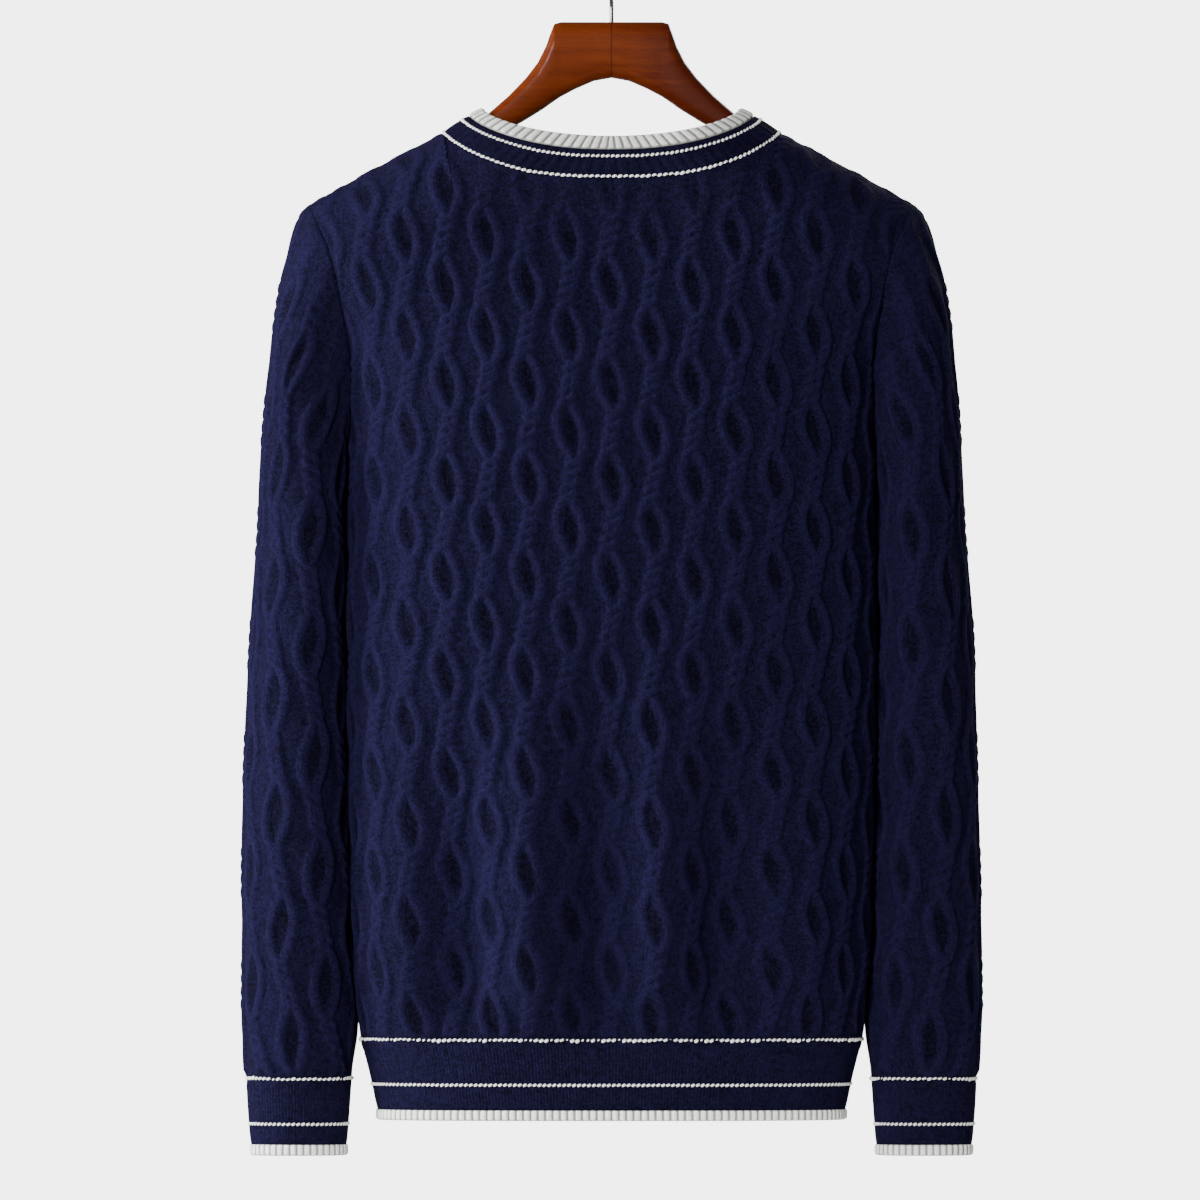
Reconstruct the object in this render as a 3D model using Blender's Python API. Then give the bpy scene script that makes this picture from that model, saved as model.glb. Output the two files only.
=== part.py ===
"""Cable-knit crewneck sweater hanging on a wooden hanger, modelled as closed solids.

Metres, +Z up.  The origin is the inside top of the hook, where a rail holds it.
The garment's back faces -Y, its front faces +Y, and +X is to the right seen from behind.

Each knitted piece is drawn flat first, in an "across" and a "height" coordinate, and is then
carried on to the garment's form by panel_point or by a sleeve's rails.  The outer face holds
the raised cables, the inner face is plain, and a rim closes the wall between them.
"""
import math
from collections import namedtuple

import bmesh
import bpy
import numpy as np
from mathutils import Vector
from mathutils.geometry import delaunay_2d_cdt

# Cloth
SEAM_GAP = 0.0003
WALL = 0.0026
CABLE_RISE = 0.0022
OVAL_HOLLOW = 0.0003
BACK, FRONT = -1, 1

# Cable lattice: columns of open ovals and short twisted ropes, every second column
# half a period lower
COLUMN_PITCH = 0.0293
BODY_PERIOD = 0.0655
SLEEVE_PERIOD = 0.0760
OVAL_TOP_HEIGHT = -0.2345
OVAL_HALF_LENGTH = 0.0185
OVAL_HALF_WIDTH = 0.0082
OVAL_SHOULDER = 0.0080
VALLEY_OFFSET = 0.0175
EDGE_MARGIN = 0.0065

# Body
HEM_SEAM_HEIGHT = -0.7405
SECTION_POWER = 2.8
CREST_DROP = 0.060
CREST_RUN = CREST_DROP * math.pi / 2
CREST_EXTRA = CREST_RUN - CREST_DROP
NECK_HALF_WIDTH = 0.1132
NECK_POINT_HEIGHT = -0.1325
NECK_CURVE_POWER = 2.7
NECK_LOW = {BACK: -0.1635, FRONT: -0.2150}
SHOULDER_SLOPE = 0.538
SHOULDER_TIP = 0.2045
SHOULDER_BOW = 0.0006
SHOULDER_FULLNESS = 0.2280
SHOULDER_ASIDE = 0.45
UNDERARM_HEIGHT = -0.385
FLARE_FROM, FLARE_TO = -0.300, -0.190

Section = namedtuple("Section", "height half_width back_depth front_depth")
BODY_SECTIONS = [
    Section(-0.7405, 0.1685, 0.0690, 0.0740),
    Section(-0.7000, 0.1708, 0.0760, 0.0810),
    Section(-0.6200, 0.1732, 0.0830, 0.0870),
    Section(-0.5000, 0.1757, 0.0880, 0.0915),
    Section(-0.3800, 0.1775, 0.0900, 0.0930),
    Section(-0.3000, 0.1780, 0.0870, 0.0910),
    Section(-0.2500, 0.1790, 0.0790, 0.0860),
    Section(-0.2000, 0.1800, 0.0680, 0.0790),
    Section(-0.1600, 0.1800, 0.0590, 0.0700),
    Section(-0.1250, 0.1800, 0.0540, 0.0600),
]
REFERENCE_SECTION = Section(-0.3800, 0.1770, 0.0900, 0.0930)

Armhole = namedtuple("Armhole", "height inset")
ARMHOLE_ROWS = [
    Armhole(-0.1900, 0.0296),
    Armhole(-0.2166, 0.0366),
    Armhole(-0.2455, 0.0366),
    Armhole(-0.2784, 0.0350),
    Armhole(-0.3200, 0.0310),
    Armhole(-0.3500, 0.0245),
    Armhole(-0.3720, 0.0145),
    Armhole(UNDERARM_HEIGHT, 0.0),
]

# Long soft folds that run up from the hem, as the cloth hangs
Fold = namedtuple("Fold", "across spread depth top")
FOLDS = {
    BACK: [
        Fold(-0.150, 0.024, 0.0045, -0.50),
        Fold(-0.108, 0.024, -0.0050, -0.45),
        Fold(-0.052, 0.028, 0.0055, -0.42),
        Fold(-0.006, 0.026, -0.0060, -0.46),
        Fold(0.043, 0.026, 0.0050, -0.43),
        Fold(0.090, 0.024, -0.0050, -0.48),
        Fold(0.143, 0.026, 0.0045, -0.52),
    ],
    FRONT: [
        Fold(-0.128, 0.026, 0.0050, -0.47),
        Fold(-0.078, 0.026, -0.0050, -0.50),
        Fold(-0.020, 0.030, 0.0055, -0.41),
        Fold(0.034, 0.026, -0.0055, -0.45),
        Fold(0.092, 0.028, 0.0050, -0.44),
        Fold(0.146, 0.024, -0.0040, -0.52),
    ],
}

FOLD_FULL_HEIGHT = HEM_SEAM_HEIGHT + 0.05
FOLD_LOSS_AT_HEM = 0.6

# Sleeves: ovals that hang straight down beside the body
SleeveRow = namedtuple("SleeveRow", "height outer inner half_depth")
SLEEVE_ROWS = [
    SleeveRow(-0.4000, 0.2362, 0.1856, 0.0640),
    SleeveRow(-0.4600, 0.2410, 0.1840, 0.0600),
    SleeveRow(-0.5400, 0.2442, 0.1814, 0.0540),
    SleeveRow(-0.6200, 0.2462, 0.1795, 0.0480),
    SleeveRow(-0.7000, 0.2468, 0.1770, 0.0420),
    SleeveRow(-0.7420, 0.2466, 0.1735, 0.0380),
    SleeveRow(-0.7677, 0.2450, 0.1745, 0.0330),
]
SLEEVE_TOP_RING = SLEEVE_ROWS[0].height
CUFF_SEAM_HEIGHT = SLEEVE_ROWS[-1].height
SLEEVE_POWER = 2.2
SLEEVE_CENTRE_Y = 0.004
CAP_REACH_OUTER, CAP_REACH_INNER = 0.82, 1.0
CAP_SIDE_PULL = 0.30
CAP_DROP = 0.09

# Knitted bands: a navy rib band and a narrow white ribbed edge on each
BandRow = namedtuple("BandRow", "height half_width back_depth front_depth")
HEM_BAND_ROWS = [
    BandRow(-0.7450, 0.1672, 0.0690, 0.0735),
    BandRow(-0.7600, 0.1632, 0.0672, 0.0715),
    BandRow(-0.7740, 0.1600, 0.0658, 0.0702),
    BandRow(-0.7882, 0.1572, 0.0655, 0.0700),
]
HEM_BOTTOM = -0.7952
CuffRow = namedtuple("CuffRow", "height outer inner half_depth")
CUFF_ROWS = [
    CuffRow(-0.7725, 0.2450, 0.1752, 0.0315),
    CuffRow(-0.7900, 0.2440, 0.1764, 0.0300),
    CuffRow(-0.8120, 0.2422, 0.1780, 0.0290),
]
CUFF_BOTTOM = -0.8194
NECK_TOP_HALF_WIDTH = 0.0858
NECK_TOP_SIDE_HEIGHT = -0.1162
NECK_TOP = {BACK: (0.0490, -0.1352), FRONT: (0.0640, -0.1885)}
NECK_ROUND = 0.80
NECK_HANG = 1.35
NECK_EDGE_SHARE = 0.34
NECK_BULGE = 0.0010
RIB_RISE = 0.0008
EDGE_RIB_PITCH = {"neck": 0.0054, "hem": 0.0050, "cuff": 0.0050}

# Sampling of the shared seams and of the plain inner faces
NECK_SEGMENTS = 20
SHOULDER_SEGMENTS = 5
ARMHOLE_SEGMENTS = 15
ARMHOLE_CROWDING = 1.35
SIDE_SEGMENTS = 12
HEM_SEGMENTS = 26
INNER_STEP_ACROSS = 0.024
INNER_STEP_UP = 0.044
CREST_ROWS = (0.009, 0.020, 0.034)
CREST_INSET = 0.009
TURN_ROWS = (0.0035, 0.0085)
SLEEVE_SECTION_POINTS = 97
CUFF_SEGMENTS = 24
RAIL_COUNT, RAIL_STEPS = 41, 33
SLEEVE_LEVELS = 25
NORMAL_STEP_UP, NORMAL_STEP_ROUND = 0.0015, 0.01
SEAM_WELD = 2e-5

# Hanger
WOOD_TOP = -0.0580
ARM_END = 0.1760
ARM_COVER = 0.0040
WoodRow = namedtuple("WoodRow", "across top bottom half_depth")
NECK_WOOD_ROWS = [
    WoodRow(0.00015, WOOD_TOP, -0.0956, 0.0100),
    WoodRow(0.0120, WOOD_TOP, -0.0978, 0.0100),
    WoodRow(0.0240, WOOD_TOP, -0.1030, 0.0102),
    WoodRow(0.0340, WOOD_TOP, -0.1083, 0.0104),
    WoodRow(0.0385, -0.0592, -0.1113, 0.0106),
    WoodRow(0.0412, -0.0660, -0.1132, 0.0107),
    WoodRow(0.0440, -0.0741, -0.1153, 0.0108),
    WoodRow(0.0494, -0.0849, -0.1188, 0.0110),
    WoodRow(0.0575, -0.0956, -0.1238, 0.0113),
    WoodRow(0.0690, -0.1075, -0.1305, 0.0118),
    WoodRow(0.0790, -0.1162, -0.1362, 0.0122),
    WoodRow(0.0900, -0.1256, -0.1430, 0.0126),
    WoodRow(0.1000, -0.1318, -0.1494, 0.0130),
]
ARM_SLOPE_SECTIONS = 7
ARM_HEIGHT = 0.0200
ARM_HALF_DEPTH_END = 0.0165
ARM_END_ROUNDING = ((0.0030, 0.86), (0.0048, 0.50))
WOOD_SECTION_SIDES = 12
WOOD_SECTION_POWER = 2.6
HOOK_WIRE = 0.0014
HOOK_RADIUS = 0.0210
HOOK_START_ANGLE, HOOK_END_ANGLE = math.radians(-58), math.radians(205)
HOOK_STEM_TOP = -0.0500
HOOK_BEND_REACH = 0.45
HOOK_SIDES = 8
HOOK_ARC_STEPS = 16
HOOK_BEND_STEPS = 4

NAVY = (0.020, 0.021, 0.062, 1)
WHITE_WOOL = (0.80, 0.80, 0.76, 1)
MAHOGANY = (0.20, 0.052, 0.018, 1)
STEEL = (0.42, 0.42, 0.43, 1)


def table_curve(rows, column, height):
    """Smooth value of a table's column at a height: a cubic through the rows."""
    ordered = sorted(rows, key=lambda row: row.height)
    knots = np.array([row.height for row in ordered])
    values = np.array([getattr(row, column) for row in ordered])
    slopes = np.gradient(values, knots)
    at = np.clip(np.asarray(height, dtype=float), knots[0], knots[-1])
    i = np.clip(np.searchsorted(knots, at) - 1, 0, len(knots) - 2)
    step = knots[i + 1] - knots[i]
    t = (at - knots[i]) / step
    return ((2 * t**3 - 3 * t**2 + 1) * values[i] + (t**3 - 2 * t**2 + t) * step * slopes[i]
            + (3 * t**2 - 2 * t**3) * values[i + 1] + (t**3 - t**2) * step * slopes[i + 1])


def smooth_step(value, low, high):
    """0 at low, 1 at high, with level ends."""
    t = np.clip((np.asarray(value, dtype=float) - low) / (high - low), 0.0, 1.0)
    return t * t * (3 - 2 * t)


def quarter_oval(half_width, depth, power, count=400):
    """Quarter of a rounded section from its middle to its side: angle, arc length."""
    angle = np.linspace(0.0, math.pi / 2, count)
    x = half_width * np.sin(angle) ** (2 / power)
    y = depth * np.cos(angle) ** (2 / power)
    arc = np.concatenate([[0.0], np.cumsum(np.hypot(np.diff(x), np.diff(y)))])
    return angle, arc


BODY_ANGLES, BODY_ARCS = quarter_oval(
    REFERENCE_SECTION.half_width, REFERENCE_SECTION.back_depth, SECTION_POWER)
HALF_PANEL = float(BODY_ARCS[-1])


def ridge_height(across):
    """Height of the shoulder ridge above a place across the panel, with a slight bow."""
    run = np.abs(across) - NECK_HALF_WIDTH
    bow = SHOULDER_BOW * np.sin(math.pi * np.clip(run / (SHOULDER_TIP - NECK_HALF_WIDTH), 0, 1))
    return NECK_POINT_HEIGHT - SHOULDER_SLOPE * run + bow


def fold_lift(side, across, height):
    """How far the hanging folds push the cloth out at a place on the panel."""
    lift = np.zeros(np.broadcast(across, height).shape)
    down = -np.asarray(height)
    for fold in FOLDS[side]:
        ramp = smooth_step(down, -fold.top, -FOLD_FULL_HEIGHT)
        lift = lift + fold.depth * ramp * np.exp(-((across - fold.across) / fold.spread) ** 2)
    return lift * (1 - FOLD_LOSS_AT_HEM * smooth_step(down, -FOLD_FULL_HEIGHT, -HEM_SEAM_HEIGHT))


def panel_point(side, across, height, lift=0.0):
    """Carry a flat point of the back or front panel on to the body, lifted off it by lift.

    Below the shoulder the height stays as it is, and the across coordinate runs round a
    rounded section.  Over the shoulder the panel turns along a quarter ellipse to the ridge.
    """
    across = np.asarray(across, dtype=float)
    height = np.asarray(height, dtype=float)
    ridge = ridge_height(across)
    drop = ridge + CREST_EXTRA - height
    turn = np.clip(drop / CREST_RUN, 0.0, 1.0) * math.pi / 2
    on_crest = drop < CREST_RUN
    z = np.where(on_crest, ridge - CREST_DROP * (1 - np.cos(turn)) + lift * np.cos(turn), height)
    angle = np.interp(np.abs(across), BODY_ARCS, BODY_ANGLES)
    reach = np.sin(angle) ** (2 / SECTION_POWER)
    depth_share = np.clip(np.cos(angle), 0.0, 1.0) ** (2 / SECTION_POWER)
    flare = smooth_step(z, FLARE_FROM, FLARE_TO)
    full = np.sqrt(np.clip(1 - (np.abs(across) / SHOULDER_FULLNESS) ** 4, 0.0, 1.0))
    depth_share = (1 - flare) * depth_share + flare * full
    width = table_curve(BODY_SECTIONS, "half_width", z)
    aside = (1 - flare) * reach + flare * SHOULDER_ASIDE
    x = np.sign(across) * ((1 - flare) * width * reach + flare * np.abs(across) + lift * aside)
    column = "back_depth" if side == BACK else "front_depth"
    depth = table_curve(BODY_SECTIONS, column, z) + lift + fold_lift(side, across, z)
    y = side * (SEAM_GAP / 2 + depth * depth_share * np.sin(turn))
    return np.stack(np.broadcast_arrays(x, y, z), axis=-1)


def neck_turns():
    """Angles of the neckline's samples, closer together towards the shoulders."""
    share = np.linspace(-1.0, 1.0, NECK_SEGMENTS + 1)
    return math.pi / 2 * np.sign(share) * (1 - (1 - np.abs(share)) ** 2)


def neckline(side, offset=0.0):
    """Flat points of a panel's neckline from -X to +X, moved into the opening by offset."""
    turn = neck_turns()
    top = NECK_POINT_HEIGHT + CREST_EXTRA
    across = NECK_HALF_WIDTH * np.sign(turn) * np.abs(np.sin(turn)) ** (2 / NECK_CURVE_POWER)
    rise = 1 - np.clip(np.cos(turn), 0.0, 1.0) ** (2 / NECK_CURVE_POWER)
    height = NECK_LOW[side] + (top - NECK_LOW[side]) * rise
    return move_outline(np.stack([across, height], axis=-1), offset)


def armhole(offset=0.0):
    """Flat points of the +X armhole from the shoulder tip down, moved into the hole."""
    top = float(ridge_height(SHOULDER_TIP)) + CREST_EXTRA
    height = np.linspace(top, UNDERARM_HEIGHT, 400)
    rows = [Armhole(top, HALF_PANEL - SHOULDER_TIP)] + ARMHOLE_ROWS
    across = HALF_PANEL - table_curve(rows, "inset", height)
    arc = np.concatenate([[0.0], np.cumsum(np.hypot(np.diff(across), np.diff(height)))])
    share = 1 - (1 - np.linspace(0.0, 1.0, ARMHOLE_SEGMENTS + 1)) ** ARMHOLE_CROWDING
    at = share * arc[-1]
    points = np.stack([np.interp(at, arc, across), np.interp(at, arc, height)], axis=-1)
    return move_outline(points, offset)


def move_outline(points, offset):
    """Move an open flat outline to its left by offset."""
    along = np.gradient(points, axis=0)
    along /= np.linalg.norm(along, axis=1)[:, None]
    return points + offset * np.stack([-along[:, 1], along[:, 0]], axis=-1)


def panel_outline(side):
    """Flat outline of a panel, anticlockwise from the left end of its hem."""
    hem = [(a, HEM_SEAM_HEIGHT) for a in np.linspace(-HALF_PANEL, HALF_PANEL, HEM_SEGMENTS + 1)]
    rise = np.linspace(HEM_SEAM_HEIGHT, UNDERARM_HEIGHT, SIDE_SEGMENTS + 1)[1:]
    right_side = [(HALF_PANEL, h) for h in rise]
    right_arm = [tuple(p) for p in armhole()[::-1][1:]]
    slope = np.linspace(SHOULDER_TIP, NECK_HALF_WIDTH, SHOULDER_SEGMENTS + 1)[1:]
    right_shoulder = [(a, float(ridge_height(a)) + CREST_EXTRA) for a in slope]
    neck = [tuple(p) for p in neckline(side)[::-1][1:]]
    left = [(-a, h) for a, h in reversed(right_side + right_arm + right_shoulder)]
    return np.array(hem + right_side + right_arm + right_shoulder + neck + left[1:])


def inside(points, outline):
    """Which flat points lie inside a closed outline."""
    x, y = points[:, 0][:, None], points[:, 1][:, None]
    x0, y0 = outline[:, 0][None], outline[:, 1][None]
    x1, y1 = np.roll(outline[:, 0], -1)[None], np.roll(outline[:, 1], -1)[None]
    spans = (y0 > y) != (y1 > y)
    rise = np.where(y1 == y0, 1.0, y1 - y0)
    crossing = x < (x1 - x0) * (y - y0) / rise + x0
    return (np.sum(spans & crossing, axis=1) % 2) == 1


def distance_to(points, outline):
    """Distance of flat points from a closed outline."""
    start, end = outline[None], np.roll(outline, -1, axis=0)[None]
    run = end - start
    offset = points[:, None] - start
    share = np.clip(np.sum(offset * run, -1) / np.maximum(np.sum(run * run, -1), 1e-12), 0, 1)
    return np.min(np.linalg.norm(offset - share[..., None] * run, axis=-1), axis=1)


def cable_points(outline, period, first_oval, avoid):
    """Points, lifts and ridge lines of the cable lattice that fits inside a flat outline."""
    columns = int(np.max(np.abs(outline[:, 0])) / COLUMN_PITCH) + 1
    low, high = outline[:, 1].min(), outline[:, 1].max()
    points, lifts, lines = [], [], []

    def add(x, y, lift):
        points.append((x, y))
        lifts.append(lift)
        return len(points) - 1

    for column in range(-columns, columns + 1):
        x = column * COLUMN_PITCH
        start = first_oval - (column % 2) * period / 2
        steps = range(math.floor((low - start) / period), math.ceil((high - start) / period) + 1)
        last_top = None
        for step in steps:
            y = start + step * period
            bottom = add(x, y - OVAL_HALF_LENGTH, CABLE_RISE)
            top = add(x, y + OVAL_HALF_LENGTH, CABLE_RISE)
            add(x, y, OVAL_HOLLOW)
            for side in (-1, 1):
                ring = [add(x + side * OVAL_HALF_WIDTH, y + k * OVAL_SHOULDER, CABLE_RISE)
                        for k in (-1, 1)]
                lines += [(bottom, ring[0]), (ring[0], ring[1]), (ring[1], top)]
            rope = add(x, y - period / 2, CABLE_RISE)
            lines.append((rope, bottom))
            if last_top is not None:
                lines.append((last_top, rope))
            last_top = top
    for gap in range(-columns, columns):
        left = gap * COLUMN_PITCH
        start = first_oval - (gap % 2) * period / 2
        count = int((high - low) / (period / 2)) + 4
        first = math.floor((low - start) / (period / 2)) - 1
        last = None
        for step in range(first, first + count):
            beside_left_oval = step % 2 == 0
            x = left + (VALLEY_OFFSET if beside_left_oval else COLUMN_PITCH - VALLEY_OFFSET)
            here = add(x, start + step * period / 2, 0.0)
            if last is not None:
                lines.append((last, here))
            last = here
    points, lifts = np.array(points), np.array(lifts)
    keep = inside(points, outline) & (distance_to(points, outline) > EDGE_MARGIN)
    keep &= clear_of(points, avoid)
    index = np.cumsum(keep) - 1
    lines = [(int(index[a]), int(index[b])) for a, b in lines if keep[a] and keep[b]]
    return points[keep], lifts[keep], lines


def clear_of(points, avoid):
    """Which flat points keep the edge margin from a second set of points."""
    if not len(avoid):
        return np.ones(len(points), dtype=bool)
    gaps = np.linalg.norm(points[:, None] - avoid[None], axis=-1)
    return gaps.min(axis=1) > EDGE_MARGIN


def grid_points(outline, avoid):
    """A plain grid of points inside a flat outline, for the inner face."""
    low, high = outline.min(axis=0), outline.max(axis=0)
    across = np.arange(low[0] + INNER_STEP_ACROSS / 2, high[0], INNER_STEP_ACROSS)
    up = np.arange(low[1] + INNER_STEP_UP / 2, high[1], INNER_STEP_UP)
    points = np.stack(np.meshgrid(across, up), axis=-1).reshape(-1, 2)
    keep = inside(points, outline) & (distance_to(points, outline) > INNER_STEP_ACROSS / 3)
    return points[keep & clear_of(points, avoid)]


def triangulate(outline, points, lines):
    """Triangles of a flat outline with inner points, as indices: outline first, then points."""
    count = len(outline)
    vertices = [Vector(p) for p in np.concatenate([outline, points])]
    edges = [(i, (i + 1) % count) for i in range(count)]
    edges += [(a + count, b + count) for a, b in lines]
    result = delaunay_2d_cdt(vertices, edges, [], 1, 1e-7)
    places, faces, origins = result[0], result[2], result[3]
    source = [origin[0] if origin else None for origin in origins]
    if None in source:
        raise ValueError("two feature lines cross")
    flat = np.array([tuple(p) for p in places])
    triangles = np.array([face for face in faces if len(face) == 3])
    a, b, c = (flat[triangles[:, k]] for k in range(3))
    area = (b[:, 0] - a[:, 0]) * (c[:, 1] - a[:, 1]) - (b[:, 1] - a[:, 1]) * (c[:, 0] - a[:, 0])
    triangles[area < 0] = triangles[area < 0][:, ::-1]
    return [tuple(source[i] for i in triangle) for triangle in triangles]


def ring_shares(ring):
    """Where each point of a closed ring lies along its length, from 0, and 1 at the end."""
    steps = np.linalg.norm(np.roll(ring, -1, axis=0) - ring, axis=1)
    arc = np.concatenate([[0.0], np.cumsum(steps)])
    return arc / arc[-1]


def bridge(first, second, first_shares, second_shares):
    """Triangles between two closed rings of vertex numbers, whatever their counts."""
    faces, i, j = [], 0, 0
    while i < len(first) or j < len(second):
        a, b = first[i % len(first)], second[j % len(second)]
        first_next = i < len(first) and (
            j == len(second) or first_shares[i + 1] <= second_shares[j + 1] + 1e-6)
        if first_next:
            i += 1
            faces.append((a, first[i % len(first)], b))
        else:
            j += 1
            faces.append((a, second[j % len(second)], b))
    return faces


def material(name, colour, roughness, metallic=0.0):
    """A plain finish in one colour."""
    finish = bpy.data.materials.new(name)
    finish.use_nodes = True
    shader = finish.node_tree.nodes["Principled BSDF"]
    shader.inputs["Base Color"].default_value = colour
    shader.inputs["Roughness"].default_value = roughness
    shader.inputs["Metallic"].default_value = metallic
    finish.diffuse_color = colour
    return finish


def solid(name, vertices, faces, colour, roughness, metallic=0.0, weld=None):
    """One named object from points and triangles, welded where asked, facing out."""
    mesh = bpy.data.meshes.new(name)
    mesh.from_pydata([tuple(map(float, v)) for v in vertices], [], [tuple(f) for f in faces])
    body = bmesh.new()
    body.from_mesh(mesh)
    if weld:
        bmesh.ops.remove_doubles(body, verts=body.verts, dist=weld)
    bmesh.ops.recalc_face_normals(body, faces=body.faces)
    body.to_mesh(mesh)
    body.free()
    mesh.shade_smooth()
    mesh.set_sharp_from_angle(angle=math.radians(50))
    mesh.materials.append(material(name + "_finish", colour, roughness, metallic))
    piece = bpy.data.objects.new(name, mesh)
    bpy.context.collection.objects.link(piece)
    return piece


def wall_solid(name, outline, faces_of, lattice, turns, turn_lines=(), shared=(), weld=None):
    """A cloth wall: cabled outer face, plain inner face, and the rim between them.

    turns holds, for each face, the points that keep its shape where the cloth bends most, and
    turn_lines joins them alike on both faces: pairs of numbers, from 0 up for a turn point and
    from -1 down for an outline point.
    shared holds the outline's own seam, where its two sides meet and no rim is needed.
    """
    outer_of, inner_of = faces_of
    outer_turns, inner_turns = turns
    features, lifts, lines = cable_points(outline, *lattice, outer_turns)
    lines = lines + joined(turn_lines, len(features), len(outline))
    features = np.concatenate([features, outer_turns])
    lifts = np.concatenate([lifts, np.zeros(len(outer_turns))])
    plain = grid_points(outline, inner_turns)
    plain_lines = joined(turn_lines, len(plain), len(outline))
    plain = np.concatenate([plain, inner_turns])
    count = len(outline)
    outer = outer_of(np.concatenate([outline, features]), np.concatenate([np.zeros(count), lifts]))
    inner = inner_of(np.concatenate([outline, plain]), count)
    faces = triangulate(outline, features, lines)
    shift = len(outer)
    faces += [(a + shift, c + shift, b + shift) for a, b, c in triangulate(outline, plain, plain_lines)]
    for i in range(count):
        j = (i + 1) % count
        if i not in shared:
            faces += [(j, i, i + shift), (j, i + shift, j + shift)]
    return solid(name, np.concatenate([outer, inner]), faces, NAVY, 0.9, weld=weld)


def joined(turn_lines, before, count):
    """Turn lines as pairs of point numbers, with `before` points ahead of the turn points."""
    return [tuple(i + before if i >= 0 else -1 - i - count for i in pair) for pair in turn_lines]


def crest_points():
    """Flat points in rows below the shoulder seams, where the cloth turns over the hanger."""
    across = np.linspace(NECK_HALF_WIDTH + CREST_INSET, SHOULDER_TIP - CREST_INSET,
                         SHOULDER_SEGMENTS + 1)
    rows = [np.stack([hand * across, ridge_height(across) + CREST_EXTRA - drop], axis=-1)
            for drop in CREST_ROWS for hand in (-1, 1)]
    return np.concatenate(rows)


def build_panel(name, side):
    """Back or front panel, from the hem seam to the shoulder seams."""
    def outer_of(flat, lifts):
        return panel_point(side, flat[:, 0], flat[:, 1], lifts)

    def inner_of(flat, count):
        return panel_point(side, flat[:, 0], flat[:, 1], -WALL)

    return wall_solid(name, panel_outline(side), (outer_of, inner_of),
                      (BODY_PERIOD, OVAL_TOP_HEIGHT), (np.zeros((0, 2)), crest_points()))


def armhole_ring(hand, lift):
    """The armhole seam on the sleeve's side, from underarm over the back, tip and front."""
    flat = armhole(SEAM_GAP)
    flat[0] = (SHOULDER_TIP + SEAM_GAP, float(ridge_height(SHOULDER_TIP)) + CREST_EXTRA)
    flat[-1] = (HALF_PANEL, UNDERARM_HEIGHT + SEAM_GAP)
    back = panel_point(BACK, hand * flat[:, 0], flat[:, 1], lift)[::-1]
    front = panel_point(FRONT, hand * flat[:, 0], flat[:, 1], lift)
    ring = np.concatenate([back, front[1:]])
    ring[[0, ARMHOLE_SEGMENTS, -1], 1] = 0.0
    return ring


def sleeve_section(hand, row_height, rows, shrink=0.0):
    """Closed oval of a sleeve or cuff from its inner side over the back, outside and front."""
    outer = table_curve(rows, "outer", row_height) - shrink
    inner = table_curve(rows, "inner", row_height) + shrink
    depth = table_curve(rows, "half_depth", row_height) - shrink
    angle = np.linspace(-math.pi, math.pi, 4 * SLEEVE_SECTION_POINTS + 1)
    c, s = np.cos(angle), np.sin(angle)
    x = (outer + inner) / 2 + (outer - inner) / 2 * np.sign(c) * np.abs(c) ** (2 / SLEEVE_POWER)
    y = SLEEVE_CENTRE_Y + depth * np.sign(s) * np.abs(s) ** (2 / SLEEVE_POWER)
    arc = np.concatenate([[0.0], np.cumsum(np.hypot(np.diff(x), np.diff(y)))])
    share = np.linspace(0.0, arc[-1], SLEEVE_SECTION_POINTS)
    z = np.full(SLEEVE_SECTION_POINTS, float(row_height))
    ring = np.stack([hand * np.interp(share, arc, x), np.interp(share, arc, y), z], axis=-1)
    return ring, float(arc[-1])


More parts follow.
